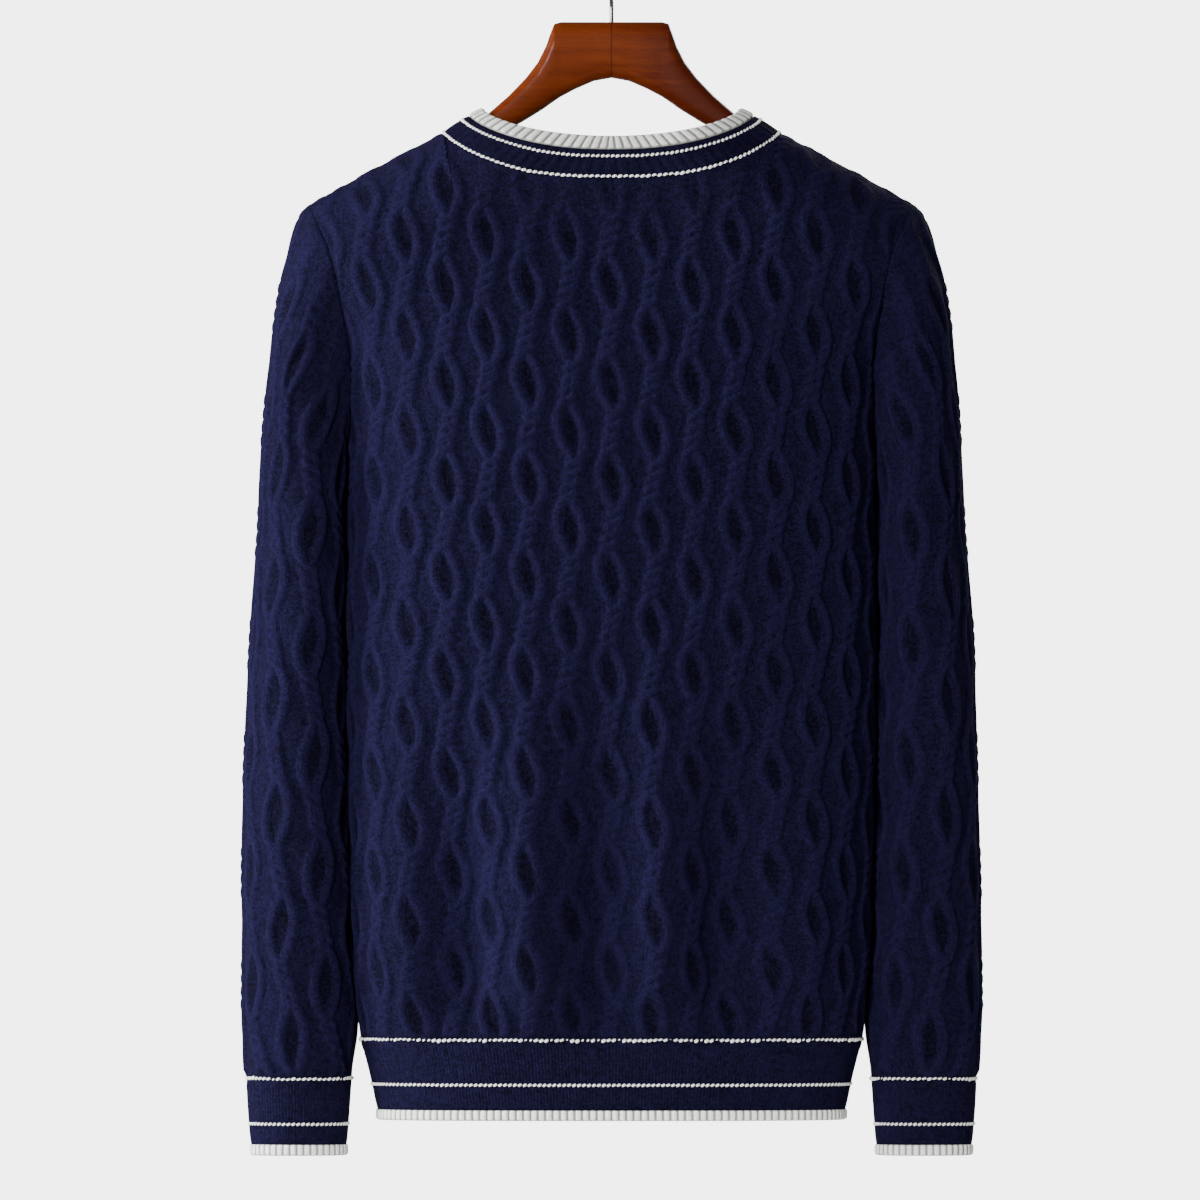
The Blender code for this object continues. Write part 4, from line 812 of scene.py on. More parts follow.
# The inner wall has every sixth point of the cloth, and every fourth of a band
CLOTH_RATIO, BAND_RATIO = 6, 4
PANEL_RUN, SLEEVE_RUN = 0.66, 0.57
SLEEVE_STEP_ACROSS, SLEEVE_STEP_ALONG = 0.00135, 0.0027
SHOULDER_COLUMNS_SHARE = 0.21
COLUMNS_SPREAD_FROM = 0.45
NECKLINE_POINTS = 4001
# From how far over the underarm to how far under it the side seam starts to lean
ABOVE_UNDERARM, BELOW_UNDERARM = 0.01, 0.02
# The upper edge slants, so it is nearer than straight up
EDGE_SLANT = 0.8
# Distances from a seam over which cables and swells come up
FADE_FROM, FADE_TO = 0.0008, 0.0050
SWELL_ROOM = 0.03
# Painted shade: how much darker than the ground the inside of an oval is coloured
HOLLOW_SHADE = 0.45

# Height of swells, depth of an oval's inside, and how weak cables are at the upper edge
Cloth = namedtuple("Cloth", "swell hollow at_edge edge_from edge_to")
PANEL_CLOTH = Cloth(0.0007, 0.0004, 0.35, 0.004, 0.060)
SLEEVE_CLOTH = Cloth(0.0009, 0.0003, 0.45, 0.003, 0.030)


def cabled(cloth, across, height, room, below, first_oval, period, knit, seed, folds=0.0):
    """Relief for the painted shade, lift and swell of a cloth at flat places.

    The lift is the cables' relief times their rise, less the ovals' hollow, plus slow waves
    and folds. Room is the distance from the seams, below that from the upper edge.
    """
    relief, hollow = cable_relief(across, height, period, first_oval, knit)
    edge = smooth_step(below, cloth.edge_from, cloth.edge_to)
    fade = smooth_step(room, FADE_FROM, FADE_TO) * (cloth.at_edge + (1 - cloth.at_edge) * edge)
    relief = relief * fade
    swell = cloth.swell * slow_waves(across, height, seed) + folds
    swell = swell * smooth_step(room, 0.0, SWELL_ROOM)
    lift = relief * knit.rise - cloth.hollow * hollow * fade + swell
    # The first value is the relief for the painted shade: low in the ground, lower still inside
    # the ovals
    return relief - HOLLOW_SHADE * hollow * fade, lift, swell


def panel_grid(side, knit):
    """Flat grid of a panel: columns from the hem to the shoulder and neck edge.

    A column's foot lies evenly along the hem and its top evenly along the top edge; rows are
    shares of the way up, and the side edges follow the side seam and the armhole.
    """
    columns = whole(2 * HALF_PANEL / knit.step_across, CLOTH_RATIO * 2)
    rows = whole(PANEL_RUN / knit.step_along, CLOTH_RATIO)
    shoulder_columns = int(round(columns * SHOULDER_COLUMNS_SHARE))
    neck_columns = columns - 2 * shoulder_columns
    slope = np.linspace(SHOULDER_TIP, NECK_HALF_WIDTH, shoulder_columns + 1)
    shoulder = np.stack([slope, ridge_height(slope) + CREST_EXTRA], axis=-1)
    neck = along_line(neckline(side, NECKLINE_POINTS)[1], neck_columns + 1)
    top = np.concatenate([shoulder * (-1, 1), neck[1:-1], shoulder[::-1]])
    foot = np.linspace(-1.0, 1.0, columns + 1)
    v = np.linspace(0.0, 1.0, rows + 1)[:, None]
    height = HEM_SEAM_HEIGHT + (top[:, 1] - HEM_SEAM_HEIGHT) * v
    edge_height = HEM_SEAM_HEIGHT + (top[0, 1] - HEM_SEAM_HEIGHT) * v
    inset = table_curve(armhole_rows(), "inset", np.maximum(edge_height, UNDERARM_HEIGHT))
    half = HALF_PANEL - inset
    blend = smooth_step(v, COLUMNS_SPREAD_FROM, 1.0)
    across = half * ((1 - blend) * foot + blend * top[:, 0] / SHOULDER_TIP)
    below = (1 - v) * (top[:, 1] - HEM_SEAM_HEIGHT)
    under_arm = smooth_step(-height, -UNDERARM_HEIGHT - ABOVE_UNDERARM,
                            -UNDERARM_HEIGHT + BELOW_UNDERARM)
    beside = (half - np.abs(across)) * (1 - under_arm * (1 - FADE_TO / LEANING_ROOM))
    room = np.minimum(np.minimum(beside, below * EDGE_SLANT), height - HEM_SEAM_HEIGHT)
    return across, height, room, below


def make_panel(name, side, knit, finish):
    """Back or front: the flat grid carried on to the body, lifted by cables and slow swells."""
    across, height, room, below = panel_grid(side, knit)
    painted_shade_relief, lift, swell = cabled(PANEL_CLOTH, across, height, room, below, OVAL_CENTRE_HEIGHT,
                                knit.body_period, knit, 1.0 + side,
                                FOLD_MORE * fold_lift(side, across, height))
    outer = panel_point(side, across, height, lift)
    few = (slice(None, None, CLOTH_RATIO),) * 2
    inner = panel_point(side, across[few], height[few], swell[few] - knit.wall)
    uv = np.stack([across, height], axis=-1)
    piece = walled(outer, inner, uv, painted_shade_relief, CLOTH_RATIO).make(name, "navy_knit", finish)
    size = (2 * HALF_PANEL, NECK_POINT_HEIGHT + CREST_EXTRA - HEM_SEAM_HEIGHT)
    return piece, size, flat_area(across, height)


def make_sleeve(name, hand, knit, finish):
    """A sleeve: rails of even length from the cuff seam to the armhole, lifted by cables."""
    sleeve = Sleeve(hand)
    girth = 2 * float(sleeve.half_girth(SLEEVE_TOP_RING))
    around = whole(girth / SLEEVE_STEP_ACROSS, CLOTH_RATIO * 2)
    rows = whole(SLEEVE_RUN / SLEEVE_STEP_ALONG, CLOTH_RATIO)
    share = np.linspace(-1.0, 1.0, around + 1)
    v = np.linspace(0.0, 1.0, rows + 1)[:, None]
    length = SLEEVE_TOP_RING + sleeve.rail_length(share) - CUFF_SEAM_HEIGHT
    w = CUFF_SEAM_HEIGHT + length * v
    share = np.broadcast_to(share, w.shape)
    half = sleeve.half_girth(w)
    u = share * half
    below = (1 - v) * length
    room = np.minimum(np.minimum(below, w - CUFF_SEAM_HEIGHT),
                      (1 - np.abs(share)) * half * FADE_TO / LEANING_ROOM)
    painted_shade_relief, lift, _ = cabled(SLEEVE_CLOTH, u, w, room, below,
                            SLEEVE_TOP_RING + knit.sleeve_period / 2, knit.sleeve_period,
                            knit, 3.0 + hand)
    facing = sleeve.normal(share, w)
    base = sleeve.at(share, w)
    outer = base + facing * lift[..., None]
    inner = (base - facing * knit.wall)[::CLOTH_RATIO, ::CLOTH_RATIO]
    outer[0, :, 2] = inner[0, :, 2].mean()
    inner[0, :, 2] = inner[0, :, 2].mean()
    uv = np.stack([u, w], axis=-1)
    surface = walled(outer[:, :-1], inner[:, :-1], uv, painted_shade_relief[:, :-1], CLOTH_RATIO, wrap=True)
    piece = surface.make(name, "navy_knit", finish)
    return piece, (girth, float(np.max(w) - CUFF_SEAM_HEIGHT)), flat_area(u, w)


def rib_wave(along, pitch):
    """Rounded ribs with narrow furrows: 1 less the fifth power of a cosine's size."""
    return 1 - np.abs(np.cos(math.pi * along / pitch)) ** 5


# Part of the ribs' relief that goes into the painted shade in the furrows of a navy band
NAVY_RIB_SHADE = 0.4


def band_tube(name, slot, finish, ring_at, length, heights, profile, rib, wall):
    """A ribbed band: rings at heights, lifted by a profile and by ribs round the band.

    ring_at(height, places, lift) gives the points, profile the lift of each height, and rib
    the pitch, rise and samples of one rib.
    """
    pitch, rise, samples = rib
    ribs = int(round(length / pitch))
    count = whole(ribs * samples, BAND_RATIO)
    places = np.arange(count + 1) / count
    wave = rib_wave(places[:-1] * ribs * pitch, pitch)
    hold = rib_hold(len(heights))[:, None]
    outer = ring_at(heights[:, None], places[None, :-1], profile[:, None] + rise * wave * hold)
    few_heights, few_places = heights[::BAND_RATIO, None], places[None, :-1:BAND_RATIO]
    inner_lift = np.full((len(few_heights), few_places.size), -wall)
    inner = ring_at(few_heights, few_places, inner_lift)
    uv = np.stack(np.broadcast_arrays(places[None] * length, heights[:, None]), axis=-1)
    # The ribs' relief is painted as shade in the furrows, weaker on a navy band
    painted_shade_relief = NAVY_RIB_SHADE if slot == "navy_knit" else 1.0
    surface = walled(outer, inner, uv, painted_shade_relief * wave * hold, BAND_RATIO, wrap=True)
    return surface.make(name, slot, finish)


def rib_hold(rows):
    """Ribs fade out at both ends of a band."""
    t = np.linspace(0.0, 1.0, rows)
    return smooth_step(np.minimum(t, 1 - t), -0.02, 0.14)


def rounded(rows, bulge):
    """Lift of a soft round edge over a band's rows: lower at both ends."""
    t = np.linspace(-1.0, 1.0, rows)
    return bulge * (np.sqrt(np.clip(1 - t**4, 0, 1)) - 1)


# Points along a stitch of a white line and round it, its waist, and how flat it lies
BEAD_SAMPLES, BEAD_SIDES = 6, 8
BEAD_WAIST = 0.28
BEAD_FLATNESS = 0.75
# How deep a hidden stitch lies in the cloth
HIDDEN_BEAD_DEPTH = 0.0009
# Heights over the band of a line and of the point that shows its way out
LINE_LIFTS = (0.0006, 0.0016)


def beaded_line(name, finish, line, out, trim, uneven, closed_length):
    """A white line of stitches: a round yarn along a closed line, swelling once each stitch.

    Radius and place of each stitch vary by slow sines and by a fixed chance, more where the
    line is uneven, and in the most uneven line some stitches lie hidden in the cloth.
    """
    beads = int(round(closed_length / trim.bead))
    count = beads * BEAD_SAMPLES
    s = np.arange(count) / count
    closed, normals = (np.concatenate([ring, ring[:1]]) for ring in (line, out))
    arc = arc_lengths(closed)
    path, facing = (points_at(ring, arc, s * arc[-1]) for ring in (closed, normals))
    along = unit(np.roll(path, -1, axis=0) - np.roll(path, 1, axis=0))
    facing = unit(facing - along * np.sum(along * facing, axis=1)[:, None])
    side = np.cross(along, facing)
    bead = np.floor(s * beads)
    chance = np.sin(bead * 12.9898 + 4.1) * 43758.5453
    chance = chance - np.floor(chance)
    swing = np.sin(bead * 0.61) * 0.5 + np.sin(bead * 0.23 + 1.7) * 0.5
    size = 1 + uneven * (0.50 * (chance - 0.5) + 0.22 * swing)
    waist = BEAD_WAIST + (1 - BEAD_WAIST) * np.abs(np.sin(math.pi * s * beads)) ** 0.7
    radius = trim.line_radius * size * waist
    hidden = chance < 0.6 * (uneven - 0.6)
    sunk = trim.line_radius * 1.3 * (1 - waist) + HIDDEN_BEAD_DEPTH * hidden
    jog = trim.line_radius * uneven * (0.7 * (chance - 0.5) + 0.4 * swing)
    slant = 0.30 * np.sin(2 * math.pi * s * beads) * trim.line_radius
    centre = path + side * (jog + slant)[:, None] - facing * sunk[:, None]
    angle = (np.arange(BEAD_SIDES) / BEAD_SIDES * 2 * math.pi)[:, None]
    up, aside = radius * np.cos(angle) * BEAD_FLATNESS, radius * np.sin(angle)
    points = centre + facing * up[..., None] + side * aside[..., None]
    u, v = np.arange(count + 1) / count * closed_length, np.arange(BEAD_SIDES + 1) * 0.001
    uv = np.stack(np.broadcast_arrays(u, v[:, None]), axis=-1)
    surface = Surface()
    # The waist is the relief, so the white finish paints shade where each stitch narrows
    surface.grid(points, uv, waist, wrap=True, close=True)
    return surface.make(name, "white_knit", finish, replaces_node=False)


def trimmed_band(names, ring_at, length, heights, ribs, edge_form, lines, count, knit, trim):
    """A navy ribbed band with its white edge and lines; gives the band and the pieces on it.

    Names, heights and ribs are the band's and the edge's, edge_form is how far the edge is
    rounded and stands out, and lines are the name, height and unevenness of each white line.
    """
    navy, white = navy_finish(knit), white_finish(knit)
    flat = np.zeros(len(heights[0]))
    round_edge = rounded(len(heights[1]), edge_form[0]) + edge_form[1]
    band = band_tube(names[0], "navy_knit", navy, ring_at, length, heights[0], flat, ribs[0],
                     knit.wall)
    edge = band_tube(names[1], "white_knit", white, ring_at, length, heights[1], round_edge,
                     ribs[1], knit.wall)
    on_band = [edge]
    places = (np.arange(count) / count)[None]
    for name, height, uneven in lines:
        level, above = (ring_at(np.array([[height]]), places, np.full((1, count), lift))[0]
                        for lift in LINE_LIFTS)
        on_band.append(beaded_line(name, white, level, above - level, trim, uneven, length))
    return band, on_band


# Hanger

def wood_rows():
    """Sections of one hanger half from the glue seam out to the arm's end."""
    rows = list(NECK_WOOD_ROWS)
    start = rows[-1].across
    for step in range(1, ARM_SLOPE_SECTIONS + 1):
        share = step / ARM_SLOPE_SECTIONS
        across = start + (ARM_END - start) * share
        top = float(ridge_height(across)) - ARM_COVER
        depth = NECK_WOOD_ROWS[-1].half_depth * (1 - share) + ARM_HALF_DEPTH_END * share
        rows.append(WoodRow(across, top, top - ARM_HEIGHT, depth))
    last = rows[-1]
    middle, half = (last.top + last.bottom) / 2, (last.top - last.bottom) / 2
    for out, scale in ARM_END_ROUNDING:
        rows.append(WoodRow(last.across + out, middle + half * scale, middle - half * scale,
                            last.half_depth * scale))
    return rows


def capped_loft(name, rings, finish):
    """A closed solid through equal rings, each end closed by a fan round its middle."""
    count = rings.shape[1]
    middle = rings[[0, -1]].mean(axis=1, keepdims=True)
    first, last = (np.repeat(point[None], count, 1) for point in middle)
    points = np.concatenate([first, rings, last])
    number = np.arange(len(points) * count).reshape(-1, count)
    number = np.concatenate([number, number[:, :1]], axis=1)
    faces = np.stack([number[c].ravel() for c in CORNERS], axis=-1)
    mesh = bpy.data.meshes.new(name)
    mesh.from_pydata(points.reshape(-1, 3).tolist(), [], faces.tolist())
    return add_piece(name, mesh, finish, merged=True)


def make_wood(name, hand, settings, finish):
    """Half of the hanger: rounded sections whose top and bottom follow the row table."""
    rows = wood_rows()
    across = np.array([row.across for row in rows])
    across[0] = -GLUE_LINE / 2
    slices = np.linspace(across[0], across[-1], WOOD_SLICES)
    fine = np.unique(np.concatenate([across, slices]))
    top, bottom, depth = (np.interp(fine, across, [getattr(row, column) for row in rows])
                          for column in ("top", "bottom", "half_depth"))
    turn = np.arange(settings.sides) / settings.sides * 2 * math.pi
    power = 2 / settings.section_power
    shape_y, shape_z = signed_power(np.sin(turn), power), signed_power(np.cos(turn), power)
    z = (top + bottom)[:, None] / 2 + (top - bottom)[:, None] / 2 * shape_z
    x = np.broadcast_to(hand * fine[:, None], z.shape)
    rings = np.stack([x, depth[:, None] * shape_y, z], axis=-1)
    return capped_loft(name, rings, finish)


def make_hook(finish):
    """The hook: a round section carried along a stem, a smooth bend and an open arc."""
    centre = -(HOOK_RADIUS - HOOK_WIRE)
    angle = np.linspace(HOOK_START_ANGLE, HOOK_END_ANGLE, HOOK_ARC_POINTS)
    arc = np.stack([HOOK_RADIUS * np.cos(angle), centre + HOOK_RADIUS * np.sin(angle)], axis=-1)
    reach = (arc[0, 1] - HOOK_STEM_TOP) * HOOK_BEND_REACH
    heading = np.array([-math.sin(HOOK_START_ANGLE), math.cos(HOOK_START_ANGLE)])
    knots = [np.array([0.0, HOOK_STEM_TOP]), np.array([0.0, HOOK_STEM_TOP + reach]),
             arc[0] - heading * reach, arc[0]]
    t = np.linspace(0.0, 1.0, HOOK_BEND_POINTS)[:-1, None]
    bend = ((1 - t) ** 3 * knots[0] + 3 * t * (1 - t) ** 2 * knots[1]
            + 3 * t * t * (1 - t) * knots[2] + t**3 * knots[3])
    path = np.concatenate([[[0.0, WOOD_TOP - SEAM_LAP]], bend, arc])
    along = unit(np.gradient(path, axis=0))
    along[0] = (0.0, 1.0)
    turn = np.arange(HOOK_SIDES) / HOOK_SIDES * 2 * math.pi
    c, s = np.cos(turn) * HOOK_WIRE, np.sin(turn) * HOOK_WIRE
    x = np.broadcast_to(c, (len(path), HOOK_SIDES))
    y = path[:, :1] + along[:, 1:] * s
    z = path[:, 1:] - along[:, :1] * s
    return capped_loft("hanger_hook", np.stack([x, y, z], axis=-1), finish)


# Materials

class Nodes:
    """Short calls that add and join shader nodes."""

    def __init__(self, name):
        self.material = bpy.data.materials.new(name)
        self.material.use_nodes = True
        self.tree = self.material.node_tree
        self.shader = self.tree.nodes["Principled BSDF"]

    def add(self, kind, **values):
        node = self.tree.nodes.new(kind)
        for key, value in values.items():
            setattr(node, key, value)
        return node

    def join(self, source, target):
        self.tree.links.new(source, target)

    def math(self, operation, a, b=None):
        node = self.add("ShaderNodeMath", operation=operation)
        for i, value in enumerate((a, b)):
            if value is None:
                continue
            if isinstance(value, (int, float)):
                node.inputs[i].default_value = value
            else:
                self.join(value, node.inputs[i])
        return node.outputs[0]

    def mix(self, share, a, b):
        """Colour between a and b; each is a socket or four numbers."""
        node = self.add("ShaderNodeMix", data_type="RGBA")
        for socket, value in ((node.inputs[0], share), (node.inputs[6], a), (node.inputs[7], b)):
            if hasattr(value, "is_output"):
                self.join(value, socket)
            else:
                socket.default_value = value
        return node.outputs[2]

    def noise(self, vector, scale, detail=3.0, roughness=0.6):
        node = self.add("ShaderNodeTexNoise")
        node.inputs["Scale"].default_value = scale
        node.inputs["Detail"].default_value = detail
        node.inputs["Roughness"].default_value = roughness
        self.join(vector, node.inputs["Vector"])
        return node.outputs[0]

    def ramp(self, value, low, high, low_to=0.0, high_to=1.0):
        node = self.add("ShaderNodeMapRange", interpolation_type="SMOOTHSTEP")
        self.join(value, node.inputs[0])
        for i, number in enumerate((low, high, low_to, high_to)):
            node.inputs[i + 1].default_value = number
        return node.outputs[0]

    def bump(self, height, distance, strength=1.0):
        node = self.add("ShaderNodeBump")
        node.inputs["Distance"].default_value = distance
        node.inputs["Strength"].default_value = strength
        self.join(height, node.inputs["Height"])
        self.join(node.outputs[0], self.shader.inputs["Normal"])

    def set(self, **values):
        for key, value in values.items():
            self.shader.inputs[key.replace("_", " ")].default_value = value

    def place(self):
        """Place on the piece, in metres."""
        return self.add("ShaderNodeTexCoord").outputs["Object"]

    def scaled(self, vector, scale, rotation=(0.0, 0.0, 0.0)):
        """A place stretched and turned."""
        mapping = self.add("ShaderNodeMapping")
        mapping.inputs["Rotation"].default_value = rotation
        mapping.inputs["Scale"].default_value = scale
        self.join(vector, mapping.inputs[0])
        return mapping.outputs[0]

    def parts(self, vector):
        """The numbers of a vector."""
        node = self.add("ShaderNodeSeparateXYZ")
        self.join(vector, node.inputs[0])
        return node.outputs

    def colour(self, share, a, b):
        """The surface's colour, between a and b."""
        self.join(self.mix(share, a, b), self.shader.inputs["Base Color"])


def stitch_height(nodes, uv, width, height):
    """Height of knit stitches: two slanting legs a column, one pair each row."""
    across, along, _ = nodes.parts(uv)
    column = nodes.math("DIVIDE", across, width)
    row = nodes.math("DIVIDE", along, height)
    leg = nodes.math("PINGPONG", nodes.math("MULTIPLY", column, 2.0), 1.0)
    slanted = nodes.math("SUBTRACT", row, nodes.math("MULTIPLY", leg, 0.75))
    turn = nodes.math("COSINE", nodes.math("MULTIPLY", slanted, 2 * math.pi))
    legs = nodes.math("ABSOLUTE", nodes.math("SINE", nodes.math("MULTIPLY", column, 2 * math.pi)))
    return nodes.math("MULTIPLY", legs, nodes.math("ADD", nodes.math("MULTIPLY", turn, 0.4), 0.6))


# For speckle, clumps and mottle: the noise at its darkest and lightest, and its part in the colour
YARN_TONES = ((0.42, 0.58, 0.72), (0.38, 0.62, 0.26), (0.34, 0.66, 0.14))
# Depth of the yarn's bump
YARN_DEPTH = 0.0010


def knit_finish(name, knit, light, painted_shade, fuzz, ground, spread):
    """Wool knit: speckled yarn with painted shade in the ground, stitch bump and a felted nap.

    Fuzz is the nap's sheen, ground the share of the light colour between the cables, the rest
    being painted shade, and spread that of the speckle. Inside the ovals the painted shade is
    deeper still.
    """
    nodes = Nodes(name)
    uv = nodes.add("ShaderNodeUVMap", uv_map="flat").outputs[0]
    place = nodes.place()
    relief = nodes.add("ShaderNodeAttribute", attribute_name="relief").outputs["Fac"]
    stitches = stitch_height(nodes, uv, knit.stitch_width, knit.stitch_height)
    speckle = nodes.noise(place, 560.0, 2.0, 0.75)
    clumps = nodes.noise(place, 260.0, 3.0, 0.6)
    mottle = nodes.noise(place, 45.0, 4.0, 0.65)
    # Painted shade: the colour darkens where the relief is low between the cables, and more where
    # it is below zero inside the ovals
    share = nodes.math("ADD", nodes.ramp(relief, 0.15, 0.85, ground, 1.0 - spread / 2),
                       nodes.ramp(relief, -0.40, 0.0, -0.28, 0.0))
    for value, (low, high, part) in zip((speckle, clumps, mottle), YARN_TONES):
        half = spread * part / 2
        share = nodes.math("ADD", share, nodes.ramp(value, low, high, -half, half))
    nodes.colour(share, painted_shade, light)
    height = nodes.math("MULTIPLY", stitches, 0.6)
    for value, weight in ((speckle, 0.9), (clumps, 0.7)):
        height = nodes.math("ADD", height, nodes.math("MULTIPLY", value, weight))
    nodes.bump(height, YARN_DEPTH)
    nodes.set(Roughness=1.0, Sheen_Weight=fuzz, Sheen_Roughness=0.45,
              Sheen_Tint=tuple(min(1.0, c / max(light[:3])) for c in light[:3]) + (1.0,),
              Specular_IOR_Level=0.02)
    return nodes.material


def wood_finish(hanger):
    """Stained wood under clear gloss: grain along the arm, dark pores, a glue line between the
    halves, and painted shade that darkens it to the right.
    """
    nodes = Nodes("glossy_mahogany")
    place = nodes.place()
    bands = nodes.noise(nodes.scaled(place, (0.35, 1.0, 4.0), (0.0, 0.12, 0.0)), 60.0, 5.0, 0.65)
    pores = nodes.noise(nodes.scaled(place, (0.10, 1.0, 1.0)), 900.0, 2.0, 0.7)
    share = nodes.math("ADD", nodes.ramp(bands, 0.30, 0.72, 0.0, 0.45),
                       nodes.ramp(pores, 0.54, 0.70, 0.0, 0.30))
    across = nodes.parts(place)[0]
    glue = nodes.ramp(nodes.math("ABSOLUTE", across), 0.0002, 0.0007, 1.0, 0.0)
    # Painted shade: the wood is mixed towards the grain colour more and more to the right
    darker = nodes.ramp(across, -0.010, 0.080)
    share = nodes.math("MAXIMUM", nodes.math("ADD", share, darker), glue)
    nodes.colour(share, tuple(hanger.wood), tuple(hanger.grain))
    nodes.bump(pores, 0.00012, 0.35)
    nodes.set(Roughness=0.45, Coat_Weight=0.035, Coat_Roughness=0.16, Specular_IOR_Level=0.04)
    return nodes.material


def steel_finish():
    """Dull drawn wire, clouded lighter and darker, with an uneven gloss."""
    nodes = Nodes("bright_wire")
    streaks = nodes.noise(nodes.place(), 700.0, 2.0, 0.5)
    nodes.join(nodes.ramp(streaks, 0.3, 0.7, 0.18, 0.34), nodes.shader.inputs["Roughness"])
    nodes.colour(streaks, (0.07, 0.07, 0.075, 1), (0.14, 0.14, 0.15, 1))
    nodes.set(Metallic=1.0)
    return nodes.material


def floor_finish():
    """Pale matt floor with a very faint mottling."""
    nodes = Nodes("pale_floor")
    tone = nodes.noise(nodes.place(), 3.0, 2.0, 0.5)
    nodes.colour(tone, (0.78, 0.78, 0.78, 1), (0.82, 0.82, 0.82, 1))
    nodes.set(Roughness=0.9)
    return nodes.material


def shared_finish(name, build):
    """A material made once and used by several pieces."""
    return bpy.data.materials.get(name) or build()


def navy_finish(knit):
    return shared_finish("navy_cable_knit", lambda: knit_finish(
        "navy_cable_knit", knit, tuple(knit.navy), tuple(knit.navy_painted_shade), 0.02, 0.42, 0.66))


def white_finish(knit):
    # Painted shade: the white darkens to this in the furrows of its ribs and at its stitches'
    # waists
    painted_shade = tuple(c * 0.27 for c in knit.white[:3]) + (1.0,)
    return shared_finish("white_rib_knit", lambda: knit_finish(
        "white_rib_knit", knit, tuple(knit.white), painted_shade, 0.05, 0.0, 0.16))


# Operators and panel

# How far a white edge is rounded, and how far it stands out
NECK_EDGE_FORM, FINE_EDGE_FORM = (0.0012, 0.0006), (0.0010, 0.0004)
# Heights of the navy ribs
NECK_RIB_RISE, FINE_RIB_RISE = 0.0005, 0.0004
# Points that a white line is worked out from
NECK_POINTS, HEM_POINTS, CUFF_POINTS = 900, 2000, 600
FLOOR_SIDES = 96


def fine_heights(seam, edge, bottom):
    """Rows of a hem's or cuff's navy band and of its white edge, from the seam down."""
    return np.linspace(seam + SEAM_LAP, edge, 17), np.linspace(edge + SEAM_LAP, bottom, 13)


def fine_ribs(trim):
    """Pitch, rise and samples of the ribs of a hem's or cuff's band and white edge."""
    return (trim.fine_rib, FINE_RIB_RISE, 4), (trim.edge_rib, trim.edge_rise, 8)


class SWEATER_OT_panels(bpy.types.Operator):
    """Build the back and front panels with their cables"""

    bl_idname = "sweater.panels"
    bl_label = "Back and front"

    def execute(self, context):
        knit = context.scene.sweater_knit
        finish = navy_finish(knit)
        for name, side in (("back_panel", BACK), ("front_panel", FRONT)):
            piece, size, area = make_panel(name, side, knit, finish)
        return {"FINISHED"}


class SWEATER_OT_sleeves(bpy.types.Operator):
    """Build the two sleeves with their cables"""

    bl_idname = "sweater.sleeves"
    bl_label = "Sleeves"

    def execute(self, context):
        knit = context.scene.sweater_knit
        finish = navy_finish(knit)
        for name, hand in (("sleeve_left", -1), ("sleeve_right", 1)):
            piece, size, area = make_sleeve(name, hand, knit, finish)
        return {"FINISHED"}


class SWEATER_OT_neck(bpy.types.Operator):
    """Build the neckband, its white rib edge and its two white lines"""

    bl_idname = "sweater.neck"
    bl_label = "Neckband"

    def execute(self, context):
        knit, trim = context.scene.sweater_knit, context.scene.sweater_trim
        _, length = neck_surface(np.zeros((1, 1)), np.zeros((1, 1)), np.zeros((1, 1)))

        def ring_at(share, places, lift):
            return neck_surface(np.broadcast_to(share, lift.shape), lift, places[0])[0]

        heights = (np.linspace(0.0, NECK_EDGE_FROM, 13),
                   np.linspace(NECK_EDGE_FROM + NECK_EDGE_GAP, 1.0, 17))
        ribs = (trim.neck_rib, NECK_RIB_RISE, 8), (trim.neck_rib, trim.edge_rise, 10)
        lines = (("neck_line", NECK_LINE_SHARE, 0.35),
                 ("neck_seam_line", NECK_SEAM_LINE_SHARE, 0.6))
        band, on_band = trimmed_band(("neckband", "neck_edge"), ring_at, length, heights, ribs,
                                     NECK_EDGE_FORM, lines, NECK_POINTS, knit, trim)
        return {"FINISHED"}


class SWEATER_OT_hem(bpy.types.Operator):
    """Build the hem band, its white rib edge and its two white lines"""

    bl_idname = "sweater.hem"
    bl_label = "Hem band"

    def execute(self, context):
        knit, trim = context.scene.sweater_knit, context.scene.sweater_trim
        places = np.arange(HEM_POINTS) / HEM_POINTS
        length = ring_length(body_ring(HEM_MEASURED_AT, places))
        lines = (("hem_seam_line", HEM_SEAM_HEIGHT - 0.0006, 1.0),
                 ("hem_line", HEM_LINE_HEIGHT, 0.15))
        heights = fine_heights(HEM_SEAM_HEIGHT, HEM_BAND_ROWS[-1].height, HEM_BOTTOM)
        band, on_band = trimmed_band(("hem_band", "hem_edge"), body_ring, length, heights,
                                     fine_ribs(trim), FINE_EDGE_FORM, lines, HEM_POINTS,
                                     knit, trim)
        return {"FINISHED"}


